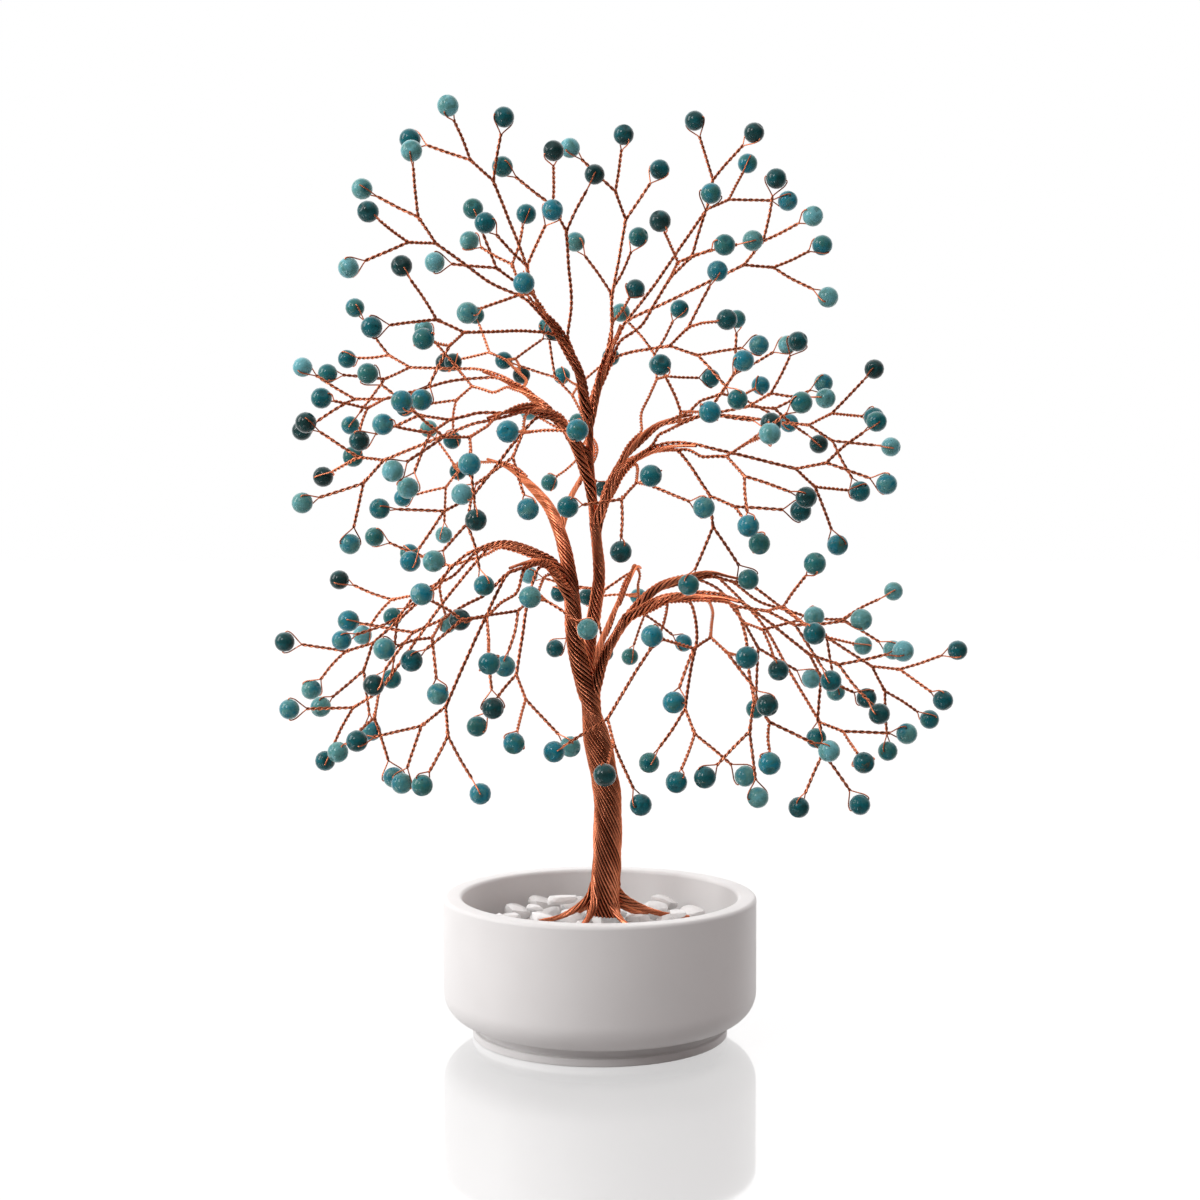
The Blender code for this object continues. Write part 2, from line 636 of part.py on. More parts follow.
def add_bead(shape, face, centre, heading):
    """Add a bead whose facet is drawn out to the end of its arm, as the loop of wire is."""
    radius = BEAD_DIAMETER / 2 * BEAD_FACET_SWELL
    verts = bmesh.ops.create_icosphere(shape, subdivisions=1, radius=radius)["verts"]
    shape.normal_update()
    around = {each for vertex in verts for each in vertex.link_faces}
    facet = max(around, key=lambda each: each.normal.z)
    corner = face.verts[0].co - face.calc_center_median()
    frame = Matrix((corner.normalized(), (-heading).cross(corner.normalized()), -heading)).transposed()
    level = (facet.verts[0].co - facet.calc_center_median()).normalized()
    source = Matrix((level, facet.normal.cross(level), facet.normal)).transposed()
    turn = frame @ source.inverted()
    for vertex in verts:
        vertex.co = turn @ vertex.co + centre
    edges = list(face.edges) + list(facet.edges)
    bmesh.ops.delete(shape, geom=[face, facet], context="FACES_ONLY")
    bmesh.ops.bridge_loops(shape, edges=edges)


def add_branches(shape, face, fork, branches, points, side):
    """Add both branches of a fork to a face at its stem's end, then the branches' own forks."""
    place = Vector(points[fork])
    up = face.normal.cross(side).normalized()
    for half, branch in zip(split_face(shape, face, up, side), branches):
        end = Vector(points[branch["end"]])
        heading = (end - place).normalized()
        radius = bundle_radius(2 * branch["beads"]) * SECTION_SWELL
        if branch["beads"] == 1:
            face = pull_section(shape, half, end - heading * LOOP_REACH, heading, radius)
            add_bead(shape, face, end, heading)
            continue
        tips = [Vector(points[twig["end"]]) for twig in branch["branches"]]
        spread = ((tips[1] - end).normalized() - (tips[0] - end).normalized()).normalized()
        face = pull_section(shape, half, end, heading, radius, heading.cross(spread))
        shape.normal_update()
        add_branches(shape, face, branch["end"], branch["branches"], points, spread)


def make_spray(number, plan, points, collection, material):
    """Make one spray: its stem, its forks, and its beads with their loops, as one solid."""
    name = "spray_%02d" % number
    stem = [Vector(points[index]) for index in plan["stem"]]
    radius = bundle_radius(2 * plan["beads"]) * SECTION_SWELL
    tips = [Vector(points[branch["end"]]) for branch in plan["branches"]]
    spread = ((tips[1] - stem[-1]).normalized() - (tips[0] - stem[-1]).normalized()).normalized()
    shape = bmesh.new()
    heading = (stem[1] - stem[0]).normalized()
    first, second = axes_across(heading, heading.cross(spread))
    angles = [2 * math.pi * index / 3 for index in range(3)]
    corners = [stem[0] + (first * math.cos(angle) + second * math.sin(angle)) * radius for angle in angles]
    face = shape.faces.new([shape.verts.new(corner) for corner in corners])
    foot = list(reversed(face.verts))
    for before, place, after in zip(stem, stem[1:], stem[2:] + [stem[-1]]):
        heading = ((place - before).normalized() + (after - place).normalized()).normalized()
        face = pull_section(shape, face, place, heading, radius, heading.cross(spread))
    shape.faces.new(foot)
    shape.normal_update()
    add_branches(shape, face, plan["stem"][-1], plan["branches"], points, spread)
    bmesh.ops.recalc_face_normals(shape, faces=shape.faces)
    mesh = bpy.data.meshes.new(name)
    shape.to_mesh(mesh)
    shape.free()
    new_object(name, mesh, material, collection)


def main():
    """Build the whole tree in its bowl."""
    clear_scene()
    collection = new_collection("wire_tree")
    joined = new_collection("wire_tree_joined")
    materials = {
        "ceramic": new_material("white_ceramic", (0.86, 0.86, 0.85), 0.45, 0.0),
        "quartz": new_material("quartz_chips", (0.80, 0.79, 0.77), 0.35, 0.0),
        "copper": new_material("copper_wire", (0.55, 0.23, 0.15), 0.30, 1.0),
        "stone": new_material("teal_stone", (0.06, 0.30, 0.32), 0.15, 0.0),
    }
    make_bowl(collection, materials["ceramic"])
    make_chip_bed(collection, materials["quartz"])
    make_loose_chips(collection, materials["quartz"])
    paths = limb_paths()
    make_trunk(paths, collection, joined, materials["copper"])
    points, plans = plan_sprays(paths)
    for number, plan in enumerate(plans, 1):
        make_spray(number, plan, points, collection, materials["stone"])


main()
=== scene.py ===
"""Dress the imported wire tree: twisted copper wire, round stone beads, quartz chips, a white bowl.

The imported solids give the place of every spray, limb and root. The same plan is grown again here from
the tree's own sizes, and real wires are twisted along it. Lengths are metres, and +Z is up.
"""

import json
import logging
import math
from dataclasses import dataclass, field
from enum import Enum
from typing import Any, NamedTuple

import bmesh
import bpy
import numpy as np
from mathutils import Matrix, Vector

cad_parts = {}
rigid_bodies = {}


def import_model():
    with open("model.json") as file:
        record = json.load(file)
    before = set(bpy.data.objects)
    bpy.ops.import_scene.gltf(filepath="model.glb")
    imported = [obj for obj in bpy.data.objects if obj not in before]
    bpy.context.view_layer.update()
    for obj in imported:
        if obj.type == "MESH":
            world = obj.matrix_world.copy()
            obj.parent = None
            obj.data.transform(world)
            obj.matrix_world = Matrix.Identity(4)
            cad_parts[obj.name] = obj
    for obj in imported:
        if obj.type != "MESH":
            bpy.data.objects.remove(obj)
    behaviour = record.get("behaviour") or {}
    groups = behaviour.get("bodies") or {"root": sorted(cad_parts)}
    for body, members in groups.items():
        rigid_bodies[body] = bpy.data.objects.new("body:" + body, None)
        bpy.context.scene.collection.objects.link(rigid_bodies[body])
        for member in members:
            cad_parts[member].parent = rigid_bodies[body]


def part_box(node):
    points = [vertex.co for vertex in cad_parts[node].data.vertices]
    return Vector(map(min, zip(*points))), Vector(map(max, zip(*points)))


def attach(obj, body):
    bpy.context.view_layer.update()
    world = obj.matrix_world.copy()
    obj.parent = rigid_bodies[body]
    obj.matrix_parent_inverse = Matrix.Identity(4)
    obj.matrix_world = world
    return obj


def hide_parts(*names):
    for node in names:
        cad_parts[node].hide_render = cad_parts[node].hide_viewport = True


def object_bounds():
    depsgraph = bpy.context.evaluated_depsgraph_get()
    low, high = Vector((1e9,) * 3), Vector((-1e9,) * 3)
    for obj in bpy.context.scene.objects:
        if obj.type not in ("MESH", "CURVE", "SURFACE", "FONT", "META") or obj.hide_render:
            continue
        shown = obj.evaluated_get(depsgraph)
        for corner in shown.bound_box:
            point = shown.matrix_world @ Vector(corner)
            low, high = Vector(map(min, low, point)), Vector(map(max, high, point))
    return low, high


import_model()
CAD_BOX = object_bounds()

LOG = logging.getLogger("wire_tree")
TINY = 0.000000001
TURN = 2 * math.pi
Path = np.ndarray


class Slot(Enum):
    """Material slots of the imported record."""

    CERAMIC = "white_ceramic"
    QUARTZ = "quartz"
    COPPER = "copper"
    STONE = "stone_beads"


class Limb(NamedTuple):
    """A limb: where it divides from its parent, its wires at foot and tip, and its way."""

    name: str
    parent: str | None
    share: float
    foot_wires: int
    tip_wires: int
    way: tuple


class Spray(NamedTuple):
    """A spray: its limb, share of the limb's length, middle of its beads, count and first turn."""

    limb: str
    share: float
    crown: tuple
    beads: int
    turn: float


# Limbs, with the way to the tip as hundredths of the tree's height above the chips
LIMBS = (
    Limb("trunk", None, 0.0, 430, 330,
         ((0.4, 0, 1.2), (0.9, 0, 9), (0.8, 0, 17), (-0.6, 0, 24), (-1.6, 0, 29))),
    Limb("left_stem", "trunk", 0.97, 217, 32,
         ((-3, -1.6, 35), (-3.7, -1.3, 43), (-6, 3, 51), (-12, 15, 57), (-18, 24, 59))),
    Limb("main_stem", "trunk", 1.0, 158, 48, ((-1.3, 2, 35), (-0.1, 0, 43), (-0.8, -0.8, 51), (-1.6, 0, 65))),
    Limb("top_left", "main_stem", 0.94, 56, 12, ((-3, -1.5, 69), (-6, -4.5, 74), (-9, -8, 77))),
    Limb("top_right", "main_stem", 0.90, 48, 12, ((0, 0.8, 67), (1.5, -1.2, 71), (3, -3.4, 75))),
    Limb("mid_left_back", "main_stem", 0.80, 42, 12, ((-6, -2.5, 63), (-11, 5, 67), (-17, 12, 70))),
    Limb("mid_left_front", "main_stem", 0.69, 72, 14, ((-4.4, -5.5, 61.5), (-9.4, -11, 63), (-15, -15, 61))),
    Limb("mid_back", "left_stem", 0.42, 32, 10, ((-3.7, 7.6, 53), (-0.8, 16, 59), (-2, 23, 62))),
    Limb("mid_right_back", "main_stem", 0.55, 56, 12, ((1.9, 1.7, 56), (7, 6.7, 62), (14, 12, 64))),
    Limb("mid_right_front", "main_stem", 0.58, 60, 12, ((3, -5, 56.5), (7.5, -10, 58.5), (13, -15, 58.5))),
    Limb("low_right", "trunk", 0.93, 108, 83, ((0.4, -0.9, 33), (4.4, -1.7, 40))),
    Limb("low_right_back", "low_right", 0.80, 61, 14, ((7, 1.3, 41.5), (13, 5, 43.4), (20, 8, 42))),
    Limb("low_right_front", "low_right", 0.84, 61, 14, ((8, -6.3, 40.6), (13.5, -11, 41), (18, -15, 40))),
    Limb("low_left_back", "left_stem", 0.26, 56, 12, ((-5.4, -2.5, 44.5), (-11.6, -1.3, 47), (-18, 1, 45.5))),
    Limb("low_left_front", "left_stem", 0.24, 56, 14, ((-6.8, -7.6, 45), (-11.5, -14, 44))),
    Limb("low_back", "main_stem", 0.06, 32, 10, ((2.6, 11, 40), (5, 18, 44), (6, 24, 43))),
)

SPRAYS = (
    Spray("top_left", 0.97, (-26, -15, 86), 4, 30),
    Spray("top_left", 0.90, (-15, -11, 97), 3, 20),
    Spray("top_left", 0.55, (-4, -8, 92), 3, 30),
    Spray("top_left", 0.70, (-15, -2, 85), 4, 60),
    Spray("top_left", 0.80, (-10, -17, 79), 4, 40),
    Spray("top_left", 0.65, (-22, -19, 71), 4, 30),
    Spray("top_right", 0.75, (4, -4, 94), 3, 30),
    Spray("top_right", 0.90, (18, 2, 95), 4, 40),
    Spray("top_right", 0.97, (25, -6, 84), 4, 30),
    Spray("top_right", 0.80, (13, -13, 84), 4, 80),
    Spray("top_right", 0.50, (3, 5, 82), 3, 60),
    Spray("top_right", 0.65, (16, -8, 72), 4, 30),
    Spray("mid_left_back", 0.97, (-33, 13, 70), 4, 30),
    Spray("mid_left_back", 0.80, (-34, -3, 63), 4, 60),
    Spray("mid_left_back", 0.70, (-22, 18, 68), 4, 0),
    Spray("mid_left_back", 0.60, (-14, 26, 74), 4, 40),
    Spray("mid_left_front", 0.97, (-33, -9, 54), 4, 30),
    Spray("mid_left_front", 0.85, (-25, -18, 60), 4, 50),
    Spray("mid_left_front", 0.90, (-18, -26, 56), 4, 10),
    Spray("mid_left_front", 0.60, (-20, -14, 46), 4, 30),
    Spray("mid_left_front", 0.70, (-9, -23, 56), 4, 60),
    Spray("mid_right_back", 0.90, (22, 17, 70), 4, 30),
    Spray("mid_right_back", 0.70, (27, 4, 66), 4, 60),
    Spray("mid_right_back", 0.97, (34, 2, 61), 4, 30),
    Spray("mid_right_back", 0.60, (9, 21, 74), 4, 50),
    Spray("mid_right_front", 0.97, (31, -11, 54), 4, 40),
    Spray("mid_right_front", 0.90, (20, -24, 56), 4, 10),
    Spray("mid_right_front", 0.80, (17, -17, 46), 4, 30),
    Spray("mid_right_front", 0.65, (13, -19, 64), 4, 60),
    Spray("mid_right_front", 0.50, (4, -21, 51), 4, 30),
    Spray("mid_back", 0.90, (-6, 31, 73), 4, 50),
    Spray("mid_back", 0.97, (-5, 37, 60), 4, 0),
    Spray("left_stem", 0.97, (-22, 32, 56), 4, 40),
    Spray("low_left_back", 0.70, (-25, 11, 42), 4, 0),
    Spray("low_left_back", 0.90, (-30, 2, 36), 4, 50),
    Spray("low_left_back", 0.97, (-34, -2, 29), 4, 30),
    Spray("low_left_back", 0.80, (-31, -11, 23), 4, 40),
    Spray("low_left_front", 0.97, (-21, -19, 21), 4, 30),
    Spray("low_left_front", 0.90, (-24, -21, 34), 4, 60),
    Spray("low_left_front", 0.75, (-16, -26, 35), 4, 0),
    Spray("low_left_front", 0.60, (-11, -17, 25), 3, 30),
    Spray("low_left_front", 0.45, (-9, -19, 38), 4, 50),
    Spray("low_right_front", 0.85, (22, -19, 39), 4, 60),
    Spray("low_right_back", 0.85, (35, 11, 34), 4, 40),
    Spray("low_right_back", 0.97, (41, 2, 27), 4, 30),
    Spray("low_right_front", 0.97, (31, -13, 29), 4, 50),
    Spray("low_right_back", 0.75, (30, -13, 20), 4, 30),
    Spray("low_right_front", 0.90, (18, -24, 22), 4, 40),
    Spray("low_right_front", 0.70, (12, -27, 33), 4, 0),
    Spray("low_right_front", 0.55, (9, -17, 21), 3, 30),
    Spray("low_right_back", 0.60, (23, -4, 32), 4, 60),
    Spray("low_right_front", 0.35, (-2, -23, 22), 3, 20),
    Spray("low_back", 0.95, (5, 32, 37), 4, 50),
    Spray("low_back", 0.75, (-5, 25, 37), 4, 10),
)

# Roots: bearing from +X in degrees, and length; their shape as shares of the way out and the rise
ROOTS = ((185, 0.019), (140, 0.015), (10, 0.026), (38, 0.017), (310, 0.013), (240, 0.016))
ROOT_SHAPE = ((0.05, 1.0), (0.24, 0.5), (0.55, 0.2), (1.0, 0.0))


# Sockets and node trees


class Value:
    """A node socket that adds Math nodes when it is used in a Python expression."""

    def __init__(self, graph: "Graph", socket: Any) -> None:
        """Wrap one output socket of a graph."""
        self.graph = graph
        self.socket = socket

    def _math(self, operation: str, *terms: Any) -> "Value":
        """Add one Math node of the terms."""
        return self.graph.add("ShaderNodeMath", {"operation": operation}, dict(enumerate(terms)))

    def __add__(self, other: Any) -> "Value":
        """Return self + other."""
        return self._math("ADD", self, other)

    def __radd__(self, other: Any) -> "Value":
        """Return other + self."""
        return self._math("ADD", other, self)

    def __sub__(self, other: Any) -> "Value":
        """Return self - other."""
        return self._math("SUBTRACT", self, other)

    def __rsub__(self, other: Any) -> "Value":
        """Return other - self."""
        return self._math("SUBTRACT", other, self)

    def __mul__(self, other: Any) -> "Value":
        """Return self * other."""
        return self._math("MULTIPLY", self, other)

    def __rmul__(self, other: Any) -> "Value":
        """Return other * self."""
        return self._math("MULTIPLY", other, self)

    def __truediv__(self, other: Any) -> "Value":
        """Return self / other."""
        return self._math("DIVIDE", self, other)

    def __gt__(self, other: Any) -> "Value":
        """Return 1 where self > other, and 0 elsewhere."""
        return self._math("GREATER_THAN", self, other)

    def sine(self) -> "Value":
        """Return the sine."""
        return self._math("SINE", self)

    def cosine(self) -> "Value":
        """Return the cosine."""
        return self._math("COSINE", self)

    def size(self) -> "Value":
        """Return the value without its sign."""
        return self._math("ABSOLUTE", self)

    def span(self, low: float, high: float) -> "Value":
        """Map a range smoothly onto 0 to 1.

        Args:
            low: The value that becomes 0.
            high: The value that becomes 1.

        Returns:
            The mapped value.
        """
        settings = {"interpolation_type": "SMOOTHSTEP", "clamp": True}
        return self.graph.add("ShaderNodeMapRange", settings, {0: self, 1: low, 2: high})


class Graph:
    """A shader or geometry node tree that is written in Python expressions."""

    def __init__(self, tree: Any) -> None:
        """Start from an empty tree."""
        self.tree = tree

    def add(self, kind: str, settings: dict | None = None, values: dict | None = None,
            output: int | str = 0) -> Value:
        """Add one node.

        Args:
            kind: The node's type name.
            settings: Its properties, set first; "stops" are a colour ramp's places and colours.
            values: Numbers, colours or linked values of its sockets, by number, name or identifier.
            output: The number or identifier of the output that is returned.

        Returns:
            The chosen output.
        """
        node = self.tree.nodes.new(kind)
        for name, setting in (settings or {}).items():
            if name == "stops":
                self._set_stops(node.color_ramp, setting)
            else:
                setattr(node, name, setting)
        for key, value in (values or {}).items():
            socket = self._socket(node.inputs, key)
            for each in value if isinstance(value, list) else [value]:
                if isinstance(each, Value):
                    self.tree.links.new(each.socket, socket)
                else:
                    socket.default_value = each
        return Value(self, self._socket(node.outputs, output)) if len(node.outputs) else Value(self, node)

    @staticmethod
    def _socket(sockets: Any, key: int | str) -> Any:
        """Find a socket.

        Args:
            sockets: A node's inputs or outputs.
            key: The socket's number, identifier or name.

        Returns:
            The socket.
        """
        if isinstance(key, int):
            return sockets[key]
        return next((each for each in sockets if each.identifier == key), None) or sockets[key]

    @staticmethod
    def _set_stops(ramp: Any, stops: tuple) -> None:
        """Give a colour ramp its stops.

        Args:
            ramp: The ramp.
            stops: Each stop's place and colour.
        """
        while len(ramp.elements) < len(stops):
            ramp.elements.new(1.0)
        for element, (place, colour) in zip(ramp.elements, stops):
            element.position = place
            element.color = (*colour, 1.0)

    def other(self, value: Value, key: int | str) -> Value:
        """Return another output of the same node."""
        return Value(self, self._socket(value.socket.node.outputs, key))

    def mix(self, factor: Any, low: Any, high: Any) -> Value:
        """Mix two colours.

        Args:
            factor: The share of the second colour.
            low: The first colour, as a value or three numbers.
            high: The second colour.

        Returns:
            The mixed colour.
        """
        sides = [(*side, 1.0) if isinstance(side, tuple) else side for side in (low, high)]
        return self.add("ShaderNodeMix", {"data_type": "RGBA"},
                        {"Factor_Float": factor, "A_Color": sides[0], "B_Color": sides[1]}, "Result_Color")

    def noise(self, scale: float, detail: float, **more: float) -> Value:
        """Return noise on object coordinates, from 0 to 1.

        Args:
            scale: Cells per metre.
            detail: Number of finer layers.
            more: Further sockets of the node, by name.

        Returns:
            The noise value.
        """
        place = self.add("ShaderNodeTexCoord", output="Object")
        values = {"Vector": place, "Scale": scale, "Detail": detail}
        return self.add("ShaderNodeTexNoise", {}, values | more, "Fac")

    def attribute(self, name: str) -> Value:
        """Return a number that the mesh carries, for a material."""
        return self.add("ShaderNodeAttribute", {"attribute_name": name}, output="Fac")

    def vector(self, operation: str, *terms: Any) -> Value:
        """Add one Vector Math node.

        Args:
            operation: What it does.
            terms: Its inputs, in order.

        Returns:
            The resulting vector.
        """
        settings = {"operation": operation}
        if operation == "SCALE":
            return self.add("ShaderNodeVectorMath", settings, {0: terms[0], "Scale": terms[1]})
        return self.add("ShaderNodeVectorMath", settings, dict(enumerate(terms)))

    def position(self) -> Value:
        """Return the place of each point of a geometry."""
        return self.add("GeometryNodeInputPosition")

    def named(self, name: str, kind: str = "FLOAT") -> Value:
        """Return a geometry's named attribute."""
        return self.add("GeometryNodeInputNamedAttribute", {"data_type": kind}, {"Name": name}, "Attribute")


# Finishes


def new_finish(name: str, fixed: dict) -> tuple[Any, Graph, Any]:
    """Make a material with a Principled shader.

    Args:
        name: The material's name.
        fixed: Values of the shader's sockets that are the same all over.

    Returns:
        The material, its graph and the shader node.
    """
    material = bpy.data.materials.new(name)
    material.use_nodes = True
    shader = material.node_tree.nodes["Principled BSDF"]
    for key, value in fixed.items():
        shader.inputs[key].default_value = value
    return material, Graph(material.node_tree), shader


def feed(graph: Graph, shader: Any, bump: tuple | None = None, **links: Value) -> None:
    """Link values to a shader's sockets.

    Args:
        graph: The material's graph.
        shader: The Principled node.
        bump: A height value, the strength and the depth in metres of a bump.
        links: Values by socket name, with _ for a space.
    """
    for name, value in links.items():
        graph.tree.links.new(value.socket, shader.inputs[name.replace("_", " ")])
    if bump:
        height, strength, depth = bump
        normal = graph.add("ShaderNodeBump", {}, {"Height": height, "Strength": strength, "Distance": depth})
        graph.tree.links.new(normal.socket, shader.inputs["Normal"])


@dataclass(frozen=True)
class CopperFinish:
    """Bare copper wire, browned in places, with painted shade in the grooves between the wires."""

    name: str = "copper_wire"
    bright: tuple = (0.80, 0.275, 0.145)
    brown: tuple = (0.36, 0.100, 0.047)
    # Painted shade: near-black colour where a wire's surface turns in towards its rope's axis, between the
    # wires
    groove: tuple = (0.022, 0.005, 0.003)
    shine: tuple = (1.0, 0.6, 0.45, 1.0)
    patch_scale: float = 260.0
    grain_scale: float = 2600.0
    bump: tuple = (0.25, 0.00002)

    def make(self) -> Any:
        """Return the material."""
        material, graph, shader = new_finish(self.name, {"Metallic": 1.0, "Specular Tint": self.shine})
        patches = graph.noise(self.patch_scale, 3.0)
        grain = graph.noise(self.grain_scale, 2.0)
        worn = (patches * 0.6 + graph.attribute("tone") * 0.5).span(0.2, 0.85)
        colour = graph.mix(worn, self.brown, self.bright)
        # Painted shade in the grooves: darkest where the surface lies low between neighbouring wires
        colour = graph.mix(graph.attribute("outward").span(0.2, 0.9), self.groove, colour)
        feed(graph, shader, (grain, *self.bump), Base_Color=colour, Roughness=0.17 + patches * 0.16)
        return material


@dataclass(frozen=True)
class StoneFinish:
    """Polished blue-green stone, each bead with a tone and mottling of its own."""

    name: str = "bead_stone"
    tones: tuple = (
        (0.00, (0.012, 0.045, 0.045)),
        (0.16, (0.010, 0.085, 0.090)),
        (0.34, (0.008, 0.150, 0.180)),
        (0.50, (0.045, 0.190, 0.170)),
        (0.66, (0.010, 0.210, 0.290)),
        (0.84, (0.110, 0.310, 0.290)),
        (1.00, (0.160, 0.460, 0.510)),
    )
    shade: tuple = (0.012, 0.050, 0.050)
    haze: tuple = (0.20, 0.45, 0.45)
    rust: tuple = (0.16, 0.11, 0.045)
    speck: tuple = (0.010, 0.020, 0.022)
    cloud_scale: float = 330.0
    grain_scale: float = 1500.0
    rust_scale: float = 420.0
    speck_scale: float = 170.0
    bump: tuple = (0.02, 0.00002)

    def make(self) -> Any:
        """Return the material."""
        material, graph, shader = new_finish(self.name, {"Specular IOR Level": 0.3})
        cloud = graph.noise(self.cloud_scale, 4.0, Distortion=0.6)
        grain = graph.noise(self.grain_scale, 3.0)
        stain = graph.noise(self.rust_scale, 2.0, Distortion=1.2)
        place = graph.attribute("tone") + (cloud - 0.5) * 0.7
        colour = graph.add("ShaderNodeValToRGB", {"stops": self.tones}, {0: place}, "Color")
        colour = graph.mix(grain.span(0.50, 0.78) * 0.35, colour, self.shade)
        colour = graph.mix((1.0 - grain).span(0.60, 0.80) * 0.12, colour, self.haze)
        colour = graph.mix(stain.span(0.66, 0.78) * 0.5, colour, self.rust)
        here = graph.add("ShaderNodeTexCoord", output="Object")
        cells = graph.add("ShaderNodeTexVoronoi", {"feature": "F1"},
                          {"Vector": here, "Scale": self.speck_scale}, "Distance")
        colour = graph.mix((1.0 - cells).span(0.93, 0.97) * 0.8, colour, self.speck)
        feed(graph, shader, (cloud, *self.bump), Base_Color=colour, Roughness=0.10 + grain * 0.08)
        return material


@dataclass(frozen=True)
class QuartzFinish:
    """Milky white quartz, cloudy inside and faintly warm in its cracks."""

    name: str = "quartz_chips"
    shade: tuple = (0.74, 0.725, 0.715)
    milk: tuple = (0.90, 0.895, 0.89)
    crack: tuple = (0.62, 0.59, 0.56)
    depth: tuple = (0.004, 0.004, 0.004)
    cloud_scale: float = 190.0
    grain_scale: float = 1100.0
    bump: tuple = (0.35, 0.00012)

    def make(self) -> Any:
        """Return the material."""
        fixed = {"IOR": 1.54, "Subsurface Weight": 0.5, "Subsurface Radius": self.depth,
                 "Subsurface Scale": 1.0, "Coat Weight": 0.3, "Coat Roughness": 0.2}
        material, graph, shader = new_finish(self.name, fixed)
        cloud = graph.noise(self.cloud_scale, 4.0, Distortion=0.8)
        grain = graph.noise(self.grain_scale, 3.0)
        milky = (cloud * 0.6 + graph.attribute("tone") * 0.4).span(0.3, 0.75)
        colour = graph.mix(milky, self.shade, self.milk)
        colour = graph.mix(grain.span(0.58, 0.78) * 0.15, colour, self.crack)
        feed(graph, shader, (grain, *self.bump), Base_Color=colour, Roughness=0.22 + cloud * 0.25)
        return material


@dataclass(frozen=True)
class CeramicFinish:
    """White matt glaze with the faintest unevenness."""

    name: str = "white_glaze"
    shade: tuple = (0.785, 0.778, 0.774)
    glaze: tuple = (0.825, 0.818, 0.814)
    speck: tuple = (0.74, 0.735, 0.72)
    broad_scale: float = 28.0
    fine_scale: float = 900.0
    bump: tuple = (0.10, 0.0003)

    def make(self) -> Any:
        """Return the material."""
        fixed = {"Coat Weight": 0.12, "Coat Roughness": 0.35}
        material, graph, shader = new_finish(self.name, fixed)
        broad = graph.noise(self.broad_scale, 3.0)
        fine = graph.noise(self.fine_scale, 3.0)
        colour = graph.mix(broad.span(0.3, 0.7), self.shade, self.glaze)
        colour = graph.mix(fine.span(0.66, 0.8) * 0.15, colour, self.speck)
        rough = 0.42 + broad * 0.12 + fine * 0.06
        feed(graph, shader, (fine * 0.3 + broad, *self.bump), Base_Color=colour, Roughness=rough)
        return material


@dataclass(frozen=True)
class FloorFinish:
    """Pale studio floor with a soft shine."""

    name: str = "studio_floor"
    pale: tuple = (0.95, 0.95, 0.95, 1.0)

    def make(self) -> Any:
        """Return the material."""
        fixed = {"Base Color": self.pale, "Metallic": 0.8, "Alpha": 0.5}
        material, graph, shader = new_finish(self.name, fixed)
        feed(graph, shader, None, Roughness=0.05 + graph.noise(6.0, 2.0) * 0.03)
        return material


# Plan of the tree


def unit(vector: Path) -> Path:
    """Return the vector at length 1."""
    return vector / max(np.linalg.norm(vector), TINY)


def smooth_path(knots: Any, spacing: float) -> Path:
    """Return points on a Catmull-Rom curve.

    Args:
        knots: The points that it passes through.
        spacing: The rough distance between its points.

    Returns:
        The points.
    """
    knots = np.array(knots, float)
    ends = np.vstack([2 * knots[0] - knots[1], knots, 2 * knots[-1] - knots[-2]])
    points = [knots[0]]
    for before, start, end, after in zip(ends, ends[1:], ends[2:], ends[3:]):
        count = max(1, round(np.linalg.norm(end - start) / spacing))
        for step in range(1, count + 1):
            t = step / count
            points.append(0.5 * (2 * start + (end - before) * t
                                 + (2 * before - 5 * start + 4 * end - after) * t ** 2
                                 + (3 * start - before - 3 * end + after) * t ** 3))
    return np.array(points)


def square_to(vector: Path, axis: Path) -> Path:
    """Return the direction of the part of the vector that is square to a unit axis."""
    return unit(vector - axis * np.dot(vector, axis))


def shares_along(path: Path) -> Path:
    """Return each point's share of the path's length."""
    lengths = np.concatenate([[0.0], np.cumsum(np.linalg.norm(np.diff(path, axis=0), axis=1))])
    return lengths / lengths[-1]


def point_at(path: Path, share: float) -> tuple[Path, Path]:
    """Return a path's point and direction.

    Args:
        path: The path.
        share: The share of its length.

    Returns:
        The point and the direction there.
    """
    shares = shares_along(path)
    point = np.array([np.interp(share, shares, path[:, axis]) for axis in range(3)])
    segment = min(max(np.searchsorted(shares, share) - 1, 0), len(path) - 2)
    return point, unit(path[segment + 1] - path[segment])


def turned(vector: Path, axis: Path, angle: float) -> Path:
    """Return the vector turned about a unit axis by an angle."""
    along = axis * np.dot(axis, vector) * (1 - math.cos(angle))
    return vector * math.cos(angle) + np.cross(axis, vector) * math.sin(angle) + along


def nearest(start_a: Path, end_a: Path, start_b: Path, end_b: Path) -> tuple[Path, Path]:
    """Find the nearest points of pairs of segments.

    Args:
        start_a: Starts of the first segments.
        end_a: Their ends.
        start_b: Starts of the second segments.
        end_b: Their ends.

    Returns:
        The shares along the first and second segments.
    """
    run_a, run_b, offset = end_a - start_a, end_b - start_b, start_a - start_b
    a = np.maximum(np.einsum("ij,ij->i", run_a, run_a), TINY ** 2)
    e = np.maximum(np.einsum("ij,ij->i", run_b, run_b), TINY ** 2)
    b = np.einsum("ij,ij->i", run_a, run_b)
    c = np.einsum("ij,ij->i", run_a, offset)
    f = np.einsum("ij,ij->i", run_b, offset)
    s = np.clip((b * f - c * e) / np.maximum(a * e - b * b, TINY ** 2), 0, 1)
    t = np.clip((b * s + f) / e, 0, 1)
    s = np.clip((b * t - c) / a, 0, 1)
    return s, t


